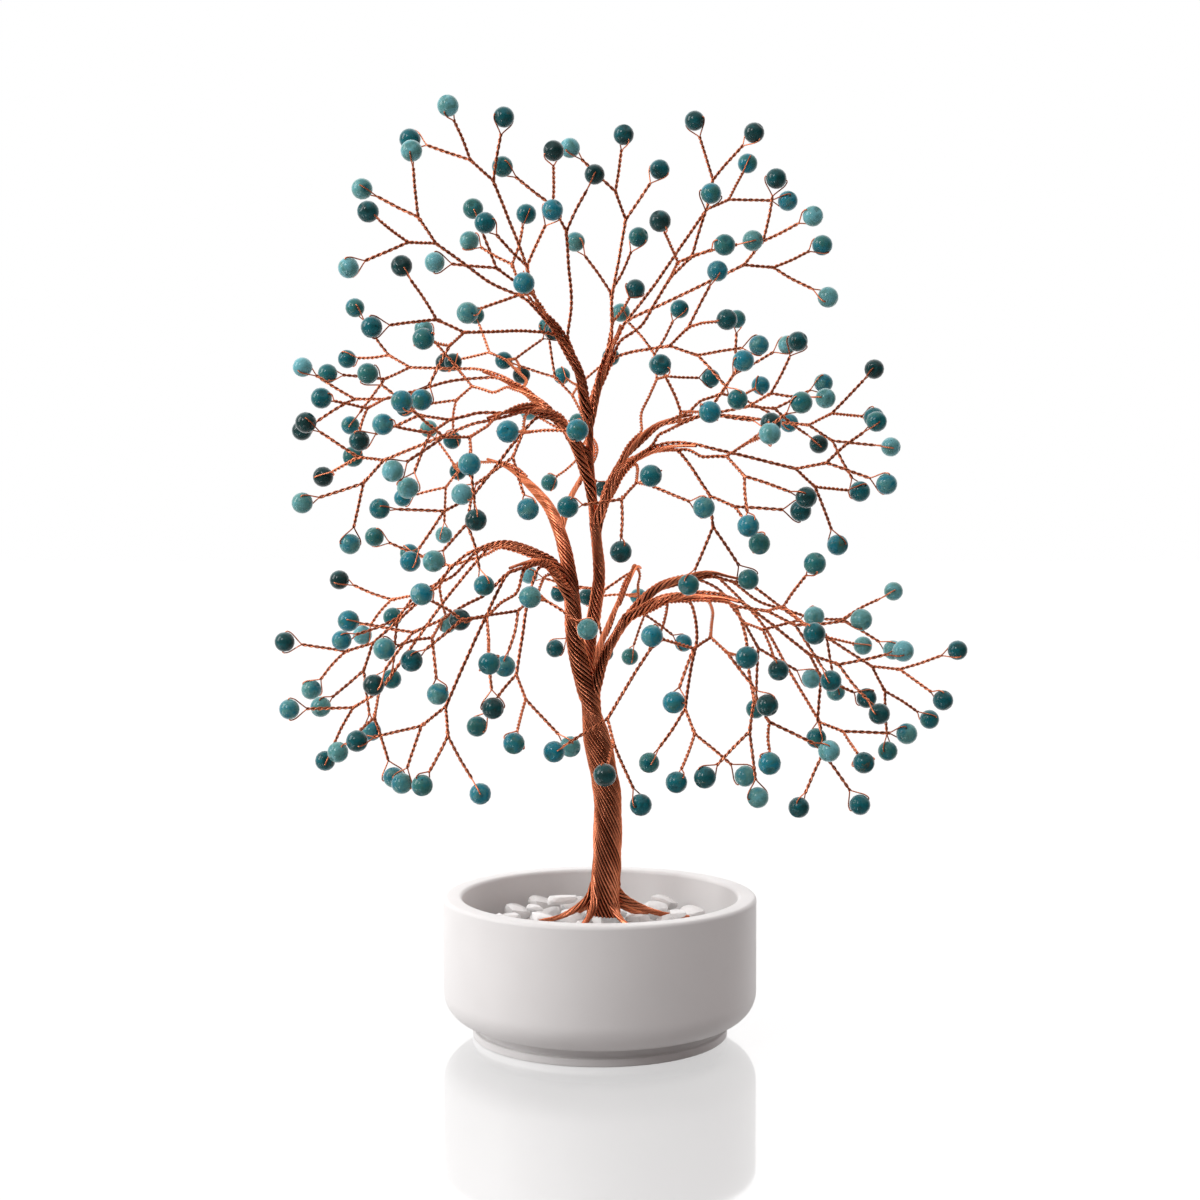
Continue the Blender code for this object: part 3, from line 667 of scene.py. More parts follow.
@dataclass
class TreePlan:
    """The tree's centre lines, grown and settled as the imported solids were."""

    chip_level: float = 0.032
    height: float = 0.238
    wire: float = 0.0004
    packing: float = 0.75
    bead: float = 0.006
    bead_swell: float = 1.08
    loop_reach: float = 0.0048
    arm: float = 0.0132
    side_stem: float = 0.0085
    stem_pieces: int = 3
    stem_lean: float = 0.8
    stem_bend: float = 0.35
    fork_angle: float = math.radians(31.0)
    fork_twist: float = math.radians(-60.0)
    limb_spacing: float = 0.012
    rest_gap: float = 0.0003
    chip_bump: float = 0.0012
    root_rise: float = 0.012
    root_wires: int = 83
    root_tip_wires: int = 23
    bead_clearance: float = 0.0005
    wire_clearance: float = 0.0004
    settle_rounds: int = 30
    settle_steps: int = 12
    settle_reach: float = 0.006
    settle_rate: float = 0.4
    points: list = field(default_factory=list)
    runs: list = field(default_factory=list)
    radii: list = field(default_factory=list)
    sprays: list = field(default_factory=list)
    limbs: dict = field(default_factory=dict)

    def __post_init__(self) -> None:
        """Grow and settle the tree."""
        self.limbs = self.limb_paths()
        self.sprays = [self.grow_spray(spray) for spray in SPRAYS]
        self.points = self.settle()

    def pose(self, shares: Any) -> Path:
        """Return a point from its hundredths of the tree's height."""
        point = np.array(shares, float) * self.height / 100.0
        point[2] += self.chip_level
        return point

    def bundle(self, wires: float) -> float:
        """Return the radius of a twisted bundle of wires."""
        return self.wire / 2 * math.sqrt(wires / self.packing)

    def limb_paths(self) -> dict:
        """Work out the limbs, each from a point on its parent's path.

        Returns:
            Each limb's centre line and radii, by name.
        """
        paths = {}
        for limb in LIMBS:
            knots = [self.pose(knot) for knot in limb.way]
            if limb.parent:
                knots.insert(0, point_at(paths[limb.parent][0], limb.share)[0])
            path = smooth_path(knots, self.limb_spacing)
            ends = (self.bundle(limb.foot_wires), self.bundle(limb.tip_wires))
            paths[limb.name] = (path, np.interp(shares_along(path), (0, 1), ends))
        return paths

    def fine_limb(self, limb: Limb, spacing: float) -> tuple[Path, Path]:
        """Return a limb's smooth centre line and radii.

        Args:
            limb: The limb.
            spacing: The distance between points.

        Returns:
            The points and the radii there.
        """
        path, radii = self.limbs[limb.name]
        fine = smooth_path(path, spacing)
        return fine, np.interp(shares_along(fine), shares_along(path), radii)

    def add_point(self, point: Path) -> int:
        """Add a point and return its number."""
        self.points.append(np.array(point, float))
        return len(self.points) - 1

    def add_run(self, start: int, end: int, radius: float) -> None:
        """Add a run of wire between two points, or a bead at one."""
        self.runs.append((start, end))
        self.radii.append(radius)

    def grow(self, fork: int, heading: Path, side: Path, beads: int) -> list[dict]:
        """Grow the two branches of a fork.

        Args:
            fork: The fork's point number.
            heading: The direction that the stem arrives in.
            side: The direction that the branches spread in.
            beads: The number of beads that they carry.

        Returns:
            Each branch's end, beads and own branches.
        """
        start = self.points[fork]
        branches = []
        for sign, count in ((-1, beads // 2), (1, beads - beads // 2)):
            way = turned(heading, np.cross(heading, side), sign * self.fork_angle)
            if count == 1:
                end = self.add_point(start + way * (self.arm + self.loop_reach))
                self.add_run(fork, end, self.bundle(2))
                self.add_run(end, end, self.bead / 2 * self.bead_swell + self.bead_clearance)
                branches.append({"end": end, "beads": 1, "branches": []})
            else:
                end = self.add_point(start + way * self.side_stem)
                self.add_run(fork, end, self.bundle(2 * count))
                across = turned(square_to(side, way), way, self.fork_twist)
                branches.append({"end": end, "beads": count, "branches": self.grow(end, way, across, count)})
        return branches

    def mean_reach(self, beads: int) -> float:
        """Work out how far ahead of a fork its beads lie.

        Args:
            beads: The number of beads that the fork carries.

        Returns:
            The distance of their middle.
        """
        total = 0.0
        for count in (beads // 2, beads - beads // 2):
            reach = self.arm + self.loop_reach if count == 1 else self.side_stem + self.mean_reach(count)
            total += count * reach
        return total / beads * math.cos(self.fork_angle)

    def grow_spray(self, spray: Spray) -> dict:
        """Grow one spray from its limb towards its crown.

        Args:
            spray: The spray.

        Returns:
            Its limb, its number of beads, its stem's point numbers and its branches.
        """
        path, radii = self.limbs[spray.limb]
        foot, along = point_at(path, spray.share)
        limb_radius = np.interp(spray.share, shares_along(path), radii)
        crown = self.pose(spray.crown)
        out = unit(crown - foot)
        aside = square_to(out, along)
        stem_radius = self.bundle(2 * spray.beads)
        base = foot + aside * (limb_radius + stem_radius + self.rest_gap)
        length = max(np.linalg.norm(crown - base) - self.mean_reach(spray.beads), self.limb_spacing)
        heading = unit(crown - base)
        fork = base + heading * length
        leave = base + unit(along * self.stem_lean + aside) * length * self.stem_bend
        arrive = fork - heading * length * self.stem_bend
        plan = {"limb": spray.limb, "beads": spray.beads, "stem": [self.add_point(base)]}
        for step in range(1, self.stem_pieces + 1):
            t = step / self.stem_pieces
            point = ((1 - t) ** 3 * base + 3 * t * (1 - t) ** 2 * leave
                     + 3 * t ** 2 * (1 - t) * arrive + t ** 3 * fork)
            plan["stem"].append(self.add_point(point))
            self.add_run(plan["stem"][-2], plan["stem"][-1], stem_radius)
        level = unit(np.cross(heading, (0.0, 1.0, 0.0)))
        side = turned(level, heading, math.radians(spray.turn))
        plan["branches"] = self.grow(plan["stem"][-1], heading, side, spray.beads)
        return plan

    def settle(self) -> Path:
        """Move the sprays apart until each wire and bead has its clear space.

        Returns:
            The settled points.
        """
        points = np.array(self.points)
        limb_runs = []
        for path, radii in self.limbs.values():
            for index in range(len(path) - 1):
                limb_runs.append((path[index], path[index + 1], max(radii[index], radii[index + 1])))
        fixed = np.vstack([np.array([run[0] for run in limb_runs]), np.array([run[1] for run in limb_runs])])
        movable = len(points)
        points = np.vstack([points, fixed])
        count = len(limb_runs)
        runs = np.array(self.runs + [(movable + i, movable + count + i) for i in range(count)])
        radii = np.array(self.radii + [run[2] for run in limb_runs])
        weight = np.where(np.arange(len(points)) < movable, 1.0, 0.0)
        free = len(self.runs)
        wires = np.array([run for run in self.runs if run[0] != run[1]])
        rest = np.linalg.norm(points[wires[:, 0]] - points[wires[:, 1]], axis=1)
        bases = [(plan["stem"][0], plan["limb"], 2 * plan["beads"]) for plan in self.sprays]
        for _ in range(self.settle_rounds):
            start, end = points[runs[:, 0]], points[runs[:, 1]]
            middle, half = (start + end) / 2, np.linalg.norm(end - start, axis=1) / 2
            gap = np.linalg.norm(middle[:free, None] - middle[None], axis=2) - half[:free, None] - half[None]
            first, second = np.nonzero(gap - radii[:free, None] - radii[None] < self.settle_reach)
            shared = (runs[first][:, :, None] == runs[second][:, None, :]).any(axis=(1, 2))
            keep = (first < second) & ~shared
            first, second = first[keep], second[keep]
            need = radii[first] + radii[second] + self.wire_clearance
            for _ in range(self.settle_steps):
                move = np.zeros_like(points)
                i0, i1, j0, j1 = runs[first, 0], runs[first, 1], runs[second, 0], runs[second, 1]
                s, t = nearest(points[i0], points[i1], points[j0], points[j1])
                near_i = points[i0] * (1 - s)[:, None] + points[i1] * s[:, None]
                near_j = points[j0] * (1 - t)[:, None] + points[j1] * t[:, None]
                apart = near_i - near_j
                distance = np.maximum(np.linalg.norm(apart, axis=1), TINY)
                lack = np.maximum(need - distance, 0.0)
                shares = ((i0, 1 - s, 1), (i1, s, 1), (j0, 1 - t, -1), (j1, t, -1))
                total = sum(weight[number] * share ** 2 for number, share, _ in shares)
                push = (lack / np.maximum(total, TINY) / distance)[:, None] * apart
                for number, share, sign in shares:
                    np.add.at(move, number, sign * push * (share * weight[number])[:, None])
                points += move * self.settle_rate
                span = points[wires[:, 1]] - points[wires[:, 0]]
                length = np.maximum(np.linalg.norm(span, axis=1), TINY)
                pull = span * ((length - rest) / length / 2 * self.settle_rate)[:, None]
                np.add.at(points, wires[:, 0], pull)
                np.add.at(points, wires[:, 1], -pull)
                for number, limb, carried in bases:
                    points[number] = self.on_limb(points[number], limb, self.bundle(carried))
        return points[:movable]

    def on_limb(self, point: Path, limb: str, radius: float) -> Path:
        """Move a point to where a wire lies against its limb.

        Args:
            point: The point.
            limb: The limb's name.
            radius: The wire's radius.

        Returns:
            The moved point.
        """
        path, radii = self.limbs[limb]
        start, run = path[:-1], np.diff(path, axis=0)
        share = np.clip(np.einsum("ij,ij->i", point - start, run) / np.einsum("ij,ij->i", run, run), 0, 1)
        feet = start + run * share[:, None]
        nearest_run = np.argmin(np.linalg.norm(point - feet, axis=1))
        limb_radius = max(radii[nearest_run], radii[nearest_run + 1])
        out = unit(point - feet[nearest_run])
        return feet[nearest_run] + out * (limb_radius + radius + self.wire_clearance)

    def root_paths(self, spacing: float) -> list[tuple[Path, Path]]:
        """Work out the roots, which lie on the chips.

        Args:
            spacing: The rough distance between points.

        Returns:
            Each root's centre line and the radii there.
        """
        foot = self.pose(LIMBS[0].way[0])
        rest = self.chip_level + self.chip_bump + self.rest_gap
        runs = []
        for bearing, length in ROOTS:
            angle = math.radians(bearing)
            out = np.array((math.cos(angle), math.sin(angle), 0.0)) * length
            knots = [(foot[0] + out[0] * share, foot[1] + out[1] * share, rest + self.root_rise * rise)
                     for share, rise in ROOT_SHAPE]
            path = smooth_path(knots, spacing)
            ends = (self.bundle(self.root_wires), self.bundle(self.root_tip_wires))
            radii = np.interp(shares_along(path), (0, 1), ends)
            path[:, 2] = np.maximum(path[:, 2], rest + radii)
            runs.append((path, radii))
        return runs


# Geometry node trees

# Where a bead's pole begins, as a share of its radius, and the sides of an unbroken chip in radii
POLE_HEIGHT = 0.99
CHIP_BLOCK = (1.7, 1.4, 1.3)


def add_object(name: str, data: Any) -> Any:
    """Return a new object of the data, linked to the scene."""
    thing = bpy.data.objects.new(name, data)
    bpy.context.scene.collection.objects.link(thing)
    return thing


class GeometryTree:
    """A geometry node tree with named inputs, and the modifier that runs it once."""

    def __init__(self, name: str, inputs: tuple) -> None:
        """Make the tree.

        Args:
            name: The tree's name.
            inputs: Each further input's name and socket type.
        """
        self.tree = bpy.data.node_groups.new(name, "GeometryNodeTree")
        face = self.tree.interface
        face.new_socket("Geometry", in_out="INPUT", socket_type="NodeSocketGeometry")
        self.identifiers = {}
        for label, kind in inputs:
            socket = face.new_socket(label, in_out="INPUT", socket_type=kind)
            self.identifiers[label] = socket.identifier
        face.new_socket("Geometry", in_out="OUTPUT", socket_type="NodeSocketGeometry")
        self.graph = Graph(self.tree)
        self.entry = self.graph.add("NodeGroupInput")

    def input(self, label: str) -> Value:
        """Return a named input."""
        return self.graph.other(self.entry, label)

    def store(self, shape: Value, name: str, value: Value, domain: str = "POINT",
              kind: str = "FLOAT") -> Value:
        """Store a value on a shape.

        Args:
            shape: The shape.
            name: The attribute's name.
            value: What it holds.
            domain: Where it lies, POINT or CURVE.
            kind: Its data type.

        Returns:
            The shape with the attribute.
        """
        return self.graph.add("GeometryNodeStoreNamedAttribute", {"data_type": kind, "domain": domain},
                              {0: shape, "Name": name, "Value": value})

    def close(self, shape: Value, smooth: bool = True) -> None:
        """End the tree: make everything real, and give it its shading and material.

        Args:
            shape: The last geometry.
            smooth: True for a smooth surface.
        """
        shape = self.graph.add("GeometryNodeRealizeInstances", {}, {0: shape})
        shape = self.graph.add("GeometryNodeSetShadeSmooth", {}, {0: shape, "Shade Smooth": smooth})
        shape = self.graph.add("GeometryNodeSetMaterial", {}, {0: shape, "Material": self.input("Material")})
        self.graph.add("NodeGroupOutput", {}, {0: shape})

    def set_on_points(self, things: Value, more: dict, smooth: bool = True) -> None:
        """End the tree with a copy of a thing on each point, turned and sized as the point says.

        Args:
            things: The thing, or several to pick from.
            more: Further sockets of the node that sets them.
            smooth: True for a smooth surface.
        """
        points = self.graph.add("GeometryNodeMeshToPoints", {}, {0: self.input("Geometry")})
        values = {0: points, "Instance": things, "Rotation": self.graph.named("turn", "FLOAT_VECTOR"),
                  "Scale": self.graph.named("size", "FLOAT_VECTOR")}
        self.close(self.graph.add("GeometryNodeInstanceOnPoints", {}, values | more), smooth)

    def run(self, name: str, source: Any, **values: Any) -> Any:
        """Run the tree on a mesh.

        Args:
            name: The name of the new object.
            source: The mesh of points or paths.
            values: The inputs, by name with _ for a space.

        Returns:
            A plain mesh object.
        """
        carrier = add_object(name + "_source", source)
        modifier = carrier.modifiers.new("build", "NODES")
        modifier.node_group = self.tree
        for label, value in values.items():
            modifier[self.identifiers[label.replace("_", " ")]] = value
        graph = bpy.context.evaluated_depsgraph_get()
        evaluated = carrier.evaluated_get(graph)
        mesh = bpy.data.meshes.new_from_object(evaluated, preserve_all_data_layers=True, depsgraph=graph)
        mesh.name = name
        thing = add_object(name, mesh)
        bpy.data.objects.remove(carrier)
        bpy.data.meshes.remove(source)
        return thing


class RopeTree(GeometryTree):
    """Twists wires about paths: each path's strands wind round it as a left-handed rope."""

    def __init__(self) -> None:
        """Build the tree."""
        super().__init__("twist_wires", (
            ("Step", "NodeSocketFloat"), ("Wire Radius", "NodeSocketFloat"), ("Sides", "NodeSocketInt"),
            ("Unevenness", "NodeSocketFloat"), ("Lift", "NodeSocketFloat"), ("Seed", "NodeSocketInt"),
            ("Material", "NodeSocketMaterial")))
        graph = self.graph
        shape = graph.add("GeometryNodeMeshToCurve", {}, {0: self.input("Geometry")})
        shape = graph.add("GeometryNodeCurveSplineType", {"spline_type": "CATMULL_ROM"}, {0: shape})
        shape = graph.add("GeometryNodeResampleCurve", {"mode": "LENGTH"},
                          {0: shape, "Length": self.input("Step")})
        amount = graph.named("strands", "INT")
        shape = graph.add("GeometryNodeDuplicateElements", {"domain": "SPLINE"}, {0: shape, "Amount": amount})
        number = graph.other(shape, "Duplicate Index")
        along = graph.add("GeometryNodeSplineParameter", output="Length")
        around = number * TURN / amount
        turn = graph.named("phase") + around - along * TURN / graph.named("pitch")
        identity = graph.named("rope", "INT")
        chance = graph.add("FunctionNodeRandomValue", {"data_type": "FLOAT"},
                           {"ID": identity * 97.0 + number, "Seed": self.input("Seed")}, "Value_001")
        ridges = graph.named("groove") * (around * graph.named("lobes")).cosine()
        reach = graph.named("reach") * (1.0 + ridges + (chance - 0.5) * self.input("Unevenness"))
        normal = graph.add("GeometryNodeInputNormal")
        tangent = graph.add("GeometryNodeInputTangent")
        second = graph.vector("CROSS_PRODUCT", tangent, normal)
        offset = graph.vector("ADD", graph.vector("SCALE", normal, turn.cosine() * reach),
                              graph.vector("SCALE", second, turn.sine() * reach))
        shape = self.store(shape, "tone", chance, "CURVE")
        shape = self.store(shape, "axis", graph.position(), kind="FLOAT_VECTOR")
        shape = self.store(shape, "spread", reach)
        shape = graph.add("GeometryNodeSetPosition", {}, {0: shape, "Offset": offset})
        shape = graph.add("GeometryNodeSetCurveRadius", {}, {0: shape, "Radius": 1.0})
        ring = graph.add("GeometryNodeCurvePrimitiveCircle", {"mode": "RADIUS"},
                         {"Resolution": self.input("Sides"), "Radius": self.input("Wire Radius")})
        shape = graph.add("GeometryNodeCurveToMesh", {}, {0: shape, 1: ring, "Fill Caps": True})
        # How far out from its rope's axis each point of a wire's surface lies, in wire radii, raised by Lift;
        # the copper finish paints shade where it is low
        beside = graph.vector("SUBTRACT", graph.position(), graph.named("axis", "FLOAT_VECTOR"))
        far = graph.add("ShaderNodeVectorMath", {"operation": "LENGTH"}, {0: beside}, "Value")
        depth = (far - graph.named("spread")) / self.input("Wire Radius") + self.input("Lift")
        self.close(self.store(shape, "outward", depth))


class BeadTree(GeometryTree):
    """Sets a drilled round bead on each point, its hole along the point's turn."""

    def __init__(self) -> None:
        """Build the tree."""
        super().__init__("string_beads", (
            ("Radius", "NodeSocketFloat"), ("Hole", "NodeSocketFloat"), ("Segments", "NodeSocketInt"),
            ("Rings", "NodeSocketInt"), ("Material", "NodeSocketMaterial")))
        graph = self.graph
        ball = graph.add("GeometryNodeMeshUVSphere", {}, {
            "Segments": self.input("Segments"), "Rings": self.input("Rings"), "Radius": self.input("Radius")})
        place = graph.position()
        height = graph.add("ShaderNodeSeparateXYZ", {}, {0: place}, "Z").size() / self.input("Radius")
        pole = height > POLE_HEIGHT
        depth = 1.0 - pole * self.input("Hole")
        ball = graph.add("GeometryNodeSetPosition", {},
                         {0: ball, "Position": graph.vector("SCALE", place, depth)})
        self.set_on_points(ball, {})


class ChipTree(GeometryTree):
    """Sets an angular stone chip on each point, one of several broken shapes."""

    def __init__(self, shapes: int) -> None:
        """Build the tree.

        Args:
            shapes: The number of different chips.
        """
        super().__init__("scatter_chips", (
            ("Radius", "NodeSocketFloat"), ("Roughness", "NodeSocketFloat"), ("Crease", "NodeSocketFloat"),
            ("Seed", "NodeSocketInt"), ("Material", "NodeSocketMaterial")))
        graph = self.graph
        kinds = []
        for number in range(shapes):
            chip = graph.add("GeometryNodeMeshCube", {}, {
                "Size": graph.vector("SCALE", CHIP_BLOCK, self.input("Radius")), "Vertices X": 3})
            place = graph.position()
            chance = graph.add("FunctionNodeRandomValue", {"data_type": "FLOAT_VECTOR"},
                               {"Min": (0.0, 0.0, 0.0), "Seed": self.input("Seed") + number * 7.0}, "Value")
            broken = graph.vector("SCALE", chance, self.input("Roughness"))
            factor = graph.vector("SUBTRACT", (1.0, 1.0, 1.0), broken)
            chip = graph.add("GeometryNodeSetPosition", {},
                             {0: chip, "Position": graph.vector("MULTIPLY", place, factor)})
            chip = graph.add("GeometryNodeConvexHull", {}, {0: chip})
            chip = graph.add("GeometryNodeSubdivisionSurface", {},
                             {0: chip, "Level": 1, "Edge Crease": self.input("Crease")})
            kinds.append(chip)
        kinds = graph.add("GeometryNodeGeometryToInstance", {}, {0: kinds})
        picking = {"Pick Instance": True, "Instance Index": graph.named("kind", "INT")}
        self.set_on_points(kinds, picking, smooth=False)


# Meshes from numbers


@dataclass
class Rope:
    """A path that wires are twisted about."""

    path: Path
    reach: Any
    strands: int
    pitch: float = 0.004
    phase: float = 0.0
    lobes: float = 0.0
    groove: float = 0.0


def ropes_mesh(name: str, ropes: list[Rope]) -> Any:
    """Return a mesh of paths with each rope's sizes as attributes.

    Args:
        name: The mesh's name.
        ropes: The ropes.

    Returns:
        A mesh of edges.
    """
    points, edges = [], []
    plain = ("strands", "pitch", "phase", "lobes", "groove")
    columns: dict[str, list] = {key: [] for key in ("reach", "rope", *plain)}
    for number, rope in enumerate(ropes):
        first = len(points)
        points.extend(rope.path.tolist())
        edges.extend((first + index, first + index + 1) for index in range(len(rope.path) - 1))
        count = len(rope.path)
        columns["reach"].extend(np.broadcast_to(rope.reach, count).tolist())
        for key in plain:
            columns[key].extend([getattr(rope, key)] * count)
        columns["rope"].extend([number] * count)
    mesh = bpy.data.meshes.new(name)
    mesh.from_pydata(points, edges, [])
    for key, numbers in columns.items():
        whole = key in ("strands", "rope")
        attribute = mesh.attributes.new(key, "INT" if whole else "FLOAT", "POINT")
        attribute.data.foreach_set("value", np.array(numbers, np.int32 if whole else np.float32))
    return mesh


def points_mesh(name: str, places: Path, turns: Path, sizes: Path, tones: Path,
                kinds: Path | None = None) -> Any:
    """Return a mesh of points with a turn, a size and a tone each.

    Args:
        name: The mesh's name.
        places: The points.
        turns: Euler angles.
        sizes: Scales along three axes.
        tones: A number from 0 to 1 for the colour.
        kinds: The number of the shape.

    Returns:
        A mesh of vertices.
    """
    mesh = bpy.data.meshes.new(name)
    mesh.from_pydata(np.asarray(places).tolist(), [], [])
    for key, rows in (("turn", turns), ("size", sizes)):
        attribute = mesh.attributes.new(key, "FLOAT_VECTOR", "POINT")
        attribute.data.foreach_set("vector", np.asarray(rows, np.float32).ravel())
    mesh.attributes.new("tone", "FLOAT", "POINT").data.foreach_set("value", np.asarray(tones, np.float32))
    if kinds is not None:
        mesh.attributes.new("kind", "INT", "POINT").data.foreach_set("value", np.asarray(kinds, np.int32))
    return mesh


def add_faces(name: str, points: list[tuple], faces: list[tuple], material: Any) -> Any:
    """Add a smooth object of points and faces.

    Args:
        name: The object's name.
        points: The points.
        faces: The point numbers of each face.
        material: The finish.

    Returns:
        The object, its faces turned outward.
    """
    mesh = bpy.data.meshes.new(name)
    mesh.from_pydata(points, [], faces)
    shape = bmesh.new()
    shape.from_mesh(mesh)
    bmesh.ops.recalc_face_normals(shape, faces=shape.faces)
    shape.to_mesh(mesh)
    shape.free()
    mesh.shade_smooth()
    mesh.materials.append(material)
    return add_object(name, mesh)


def finish_piece(thing: Any, slot: Slot, nodes: list[str]) -> None:
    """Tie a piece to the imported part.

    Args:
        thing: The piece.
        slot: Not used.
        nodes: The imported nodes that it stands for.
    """
    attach(thing, "root")
    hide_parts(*nodes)
    thing.data.calc_loop_triangles()
    LOG.info("%s: %d triangles", thing.name, len(thing.data.loop_triangles))


# Pieces


@dataclass
class Bowl:
    """The thick round bowl with a rounded lip and a foot ring."""

    radius: float = 0.046
    height: float = 0.041
    wall: float = 0.0055
    floor: float = 0.008
    corner: float = 0.0085
    inner_corner: float = 0.006
    lip: float = 0.0012
    foot_radius: float = 0.0375
    foot_height: float = 0.0023
    neck_height: float = 0.0026
    neck_depth: float = 0.0012
    ring_width: float = 0.004
    edge: float = 0.0004
    steps: int = 144

    @property
    def hollow(self) -> float:
        """Return the radius of the hollow."""
        return self.radius - self.wall

    @staticmethod
    def arc(centre: tuple, radius: float, start: float, end: float, steps: int) -> list[tuple]:
        """Return points of an arc, with angles in degrees.

        Args:
            centre: The centre.
            radius: The radius.
            start: The first angle.
            end: The last angle.
            steps: The number of pieces.

        Returns:
            The points.
        """
        angles = [math.radians(start + (end - start) * step / steps) for step in range(steps + 1)]
        return [(centre[0] + radius * math.cos(angle), centre[1] + radius * math.sin(angle))
                for angle in angles]

    def profile(self) -> list[tuple]:
        """Work out the bowl's section.

        Returns:
            Points from the middle of its floor, over the lip, to the middle of its underside.
        """
        edge = self.edge
        points = [(0.0, self.floor), (self.hollow * 0.5, self.floor)]
        points += self.arc((self.hollow - self.inner_corner, self.floor + self.inner_corner),
                           self.inner_corner, -90, 0, 8)
        crest = self.height - self.lip
        points += self.arc((self.hollow + self.lip, crest), self.lip, 180, 90, 8)
        points += self.arc((self.radius - self.lip, crest), self.lip, 90, 0, 8)
        under = self.foot_height + self.neck_height
        points += self.arc((self.radius - self.corner, under + self.corner), self.corner, 0, -86, 14)
        neck = self.foot_radius - self.neck_depth
        points += self.arc((neck + edge, under - edge), edge, 90, 180, 3)
        points += self.arc((neck + edge, self.foot_height + edge), edge, 180, 270, 3)
        points += self.arc((self.foot_radius - edge, self.foot_height - edge), edge, 90, 0, 3)
        points += self.arc((self.foot_radius - edge, edge), edge, 0, -90, 4)
        points += self.arc((self.foot_radius - self.ring_width, 0.0), edge, 0, 180, 4)
        points += [(0.0, 0.0)]
        return points

    def build(self, material: Any) -> None:
        """Turn the section into the bowl's mesh.

        Args:
            material: The glaze.
        """
        profile = self.profile()
        rings = profile[1:-1]
        angles = np.linspace(0, TURN, self.steps, endpoint=False)
        points = [(radius * math.cos(angle), radius * math.sin(angle), height)
                  for radius, height in rings for angle in angles]
        top, bottom = len(points), len(points) + 1
        points += [(0.0, 0.0, profile[0][1]), (0.0, 0.0, profile[-1][1])]
        faces = []
        last = (len(rings) - 1) * self.steps
        for step in range(self.steps):
            after = (step + 1) % self.steps
            faces.append((top, after, step))
            faces.append((bottom, last + step, last + after))
            for ring in range(len(rings) - 1):
                low, high = ring * self.steps, (ring + 1) * self.steps
                faces.append((low + step, low + after, high + after, high + step))
        finish_piece(add_faces("bowl_body", points, faces, material), Slot.CERAMIC, ["bowl"])


@dataclass
class ChipBed:
    """Quartz chips that fill the bowl, and the few that stand above the rest."""

    hollow: float
    floor: float
    level: float
    seed: int = 11
    size: float = 0.0064
    spacing: float = 0.0092
    layer: float = 0.0050
    top: float = 0.0004
    tries: int = 3000
    shapes: int = 6
    clear: float = 1.05
    wall_share: float = 0.7
    heights: tuple = (-0.0016, 0.0012)
    tilts: tuple = (0.45, 0.4)
    proportions: tuple = ((0.95, 1.25), (0.75, 0.95), (0.6, 0.8))
    roughness: float = 0.7
    crease: float = 0.8
    loose_tones: tuple = (0.3, 0.7, 0.5)
    loose_shapes: tuple = (1, 3, 5)
    loose_cover: float = 1.02

    def scatter(self, reach: float, random: Any) -> list[tuple]:
        """Return places in a disc that stay apart.

        Args:
            reach: The disc's radius.
            random: The random numbers.

        Returns:
            Each place's bearing and distance.
        """
        places: list[tuple] = []
        for _ in range(self.tries):
            angle, radius = random.uniform(0, TURN), reach * math.sqrt(random.uniform(0, 1))
            gaps = [radius ** 2 + far ** 2 - 2 * radius * far * math.cos(angle - bearing)
                    for bearing, far in places]
            if all(gap > self.spacing ** 2 for gap in gaps):
                places.append((angle, radius))
        return places

    def lay(self, random: Any) -> tuple[list, list, list, list]:
        """Lay the chips down in layers, each one flat and its long side along the bowl's wall.

        Args:
            random: The random numbers.

        Returns:
            Their places, turns, sizes and shapes.
        """
        places, turns, sizes, kinds = [], [], [], []
        height = self.level - self.top
        while height > self.floor + self.size * 0.5:
            upper = height > self.level - self.layer
            for angle, radius in self.scatter(self.hollow - self.size * self.clear, random):
                places.append((radius * math.cos(angle), radius * math.sin(angle),
                               height + random.uniform(*self.heights)))
                near_wall = radius > self.hollow * self.wall_share
                heading = angle + math.pi / 2 if near_wall else random.uniform(0, TURN)
                turns.append((*(random.uniform(-tilt, tilt) for tilt in self.tilts), heading))
                sizes.append(tuple(random.uniform(*limits) for limits in self.proportions))
                kinds.append(random.integers(0, self.shapes) if upper else
                             2 * random.integers(0, self.shapes // 2))
            height -= self.layer
        return places, turns, sizes, kinds

    def build(self, tree: ChipTree, material: Any) -> None:
        """Fill the bowl with chips.

        Args:
            tree: The tree that sets the chips.
            material: The quartz.
        """
        random = np.random.default_rng(self.seed)
        places, turns, sizes, kinds = self.lay(random)
        source = points_mesh("chip_places", places, turns, sizes, random.uniform(0, 1, len(places)), kinds)
        inputs = {"Radius": self.size, "Roughness": self.roughness, "Crease": self.crease, "Seed": 3,
                  "Material": material}
        bed = tree.run("quartz_bed", source, **inputs)
        finish_piece(bed, Slot.QUARTZ, ["chip_bed"])
        places, sizes = [], []
        nodes = ["loose_chip_%d" % number for number in range(1, len(self.loose_tones) + 1)]
        for node in nodes:
            low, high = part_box(node)
            places.append((low + high) / 2)
            sizes.append([side / self.size / 2 * self.loose_cover for side in high - low])
        turns = np.zeros((len(nodes), 3))
        source = points_mesh("loose_places", places, turns, sizes, self.loose_tones, self.loose_shapes)
        loose = tree.run("loose_quartz", source, **inputs)
        finish_piece(loose, Slot.QUARTZ, nodes)


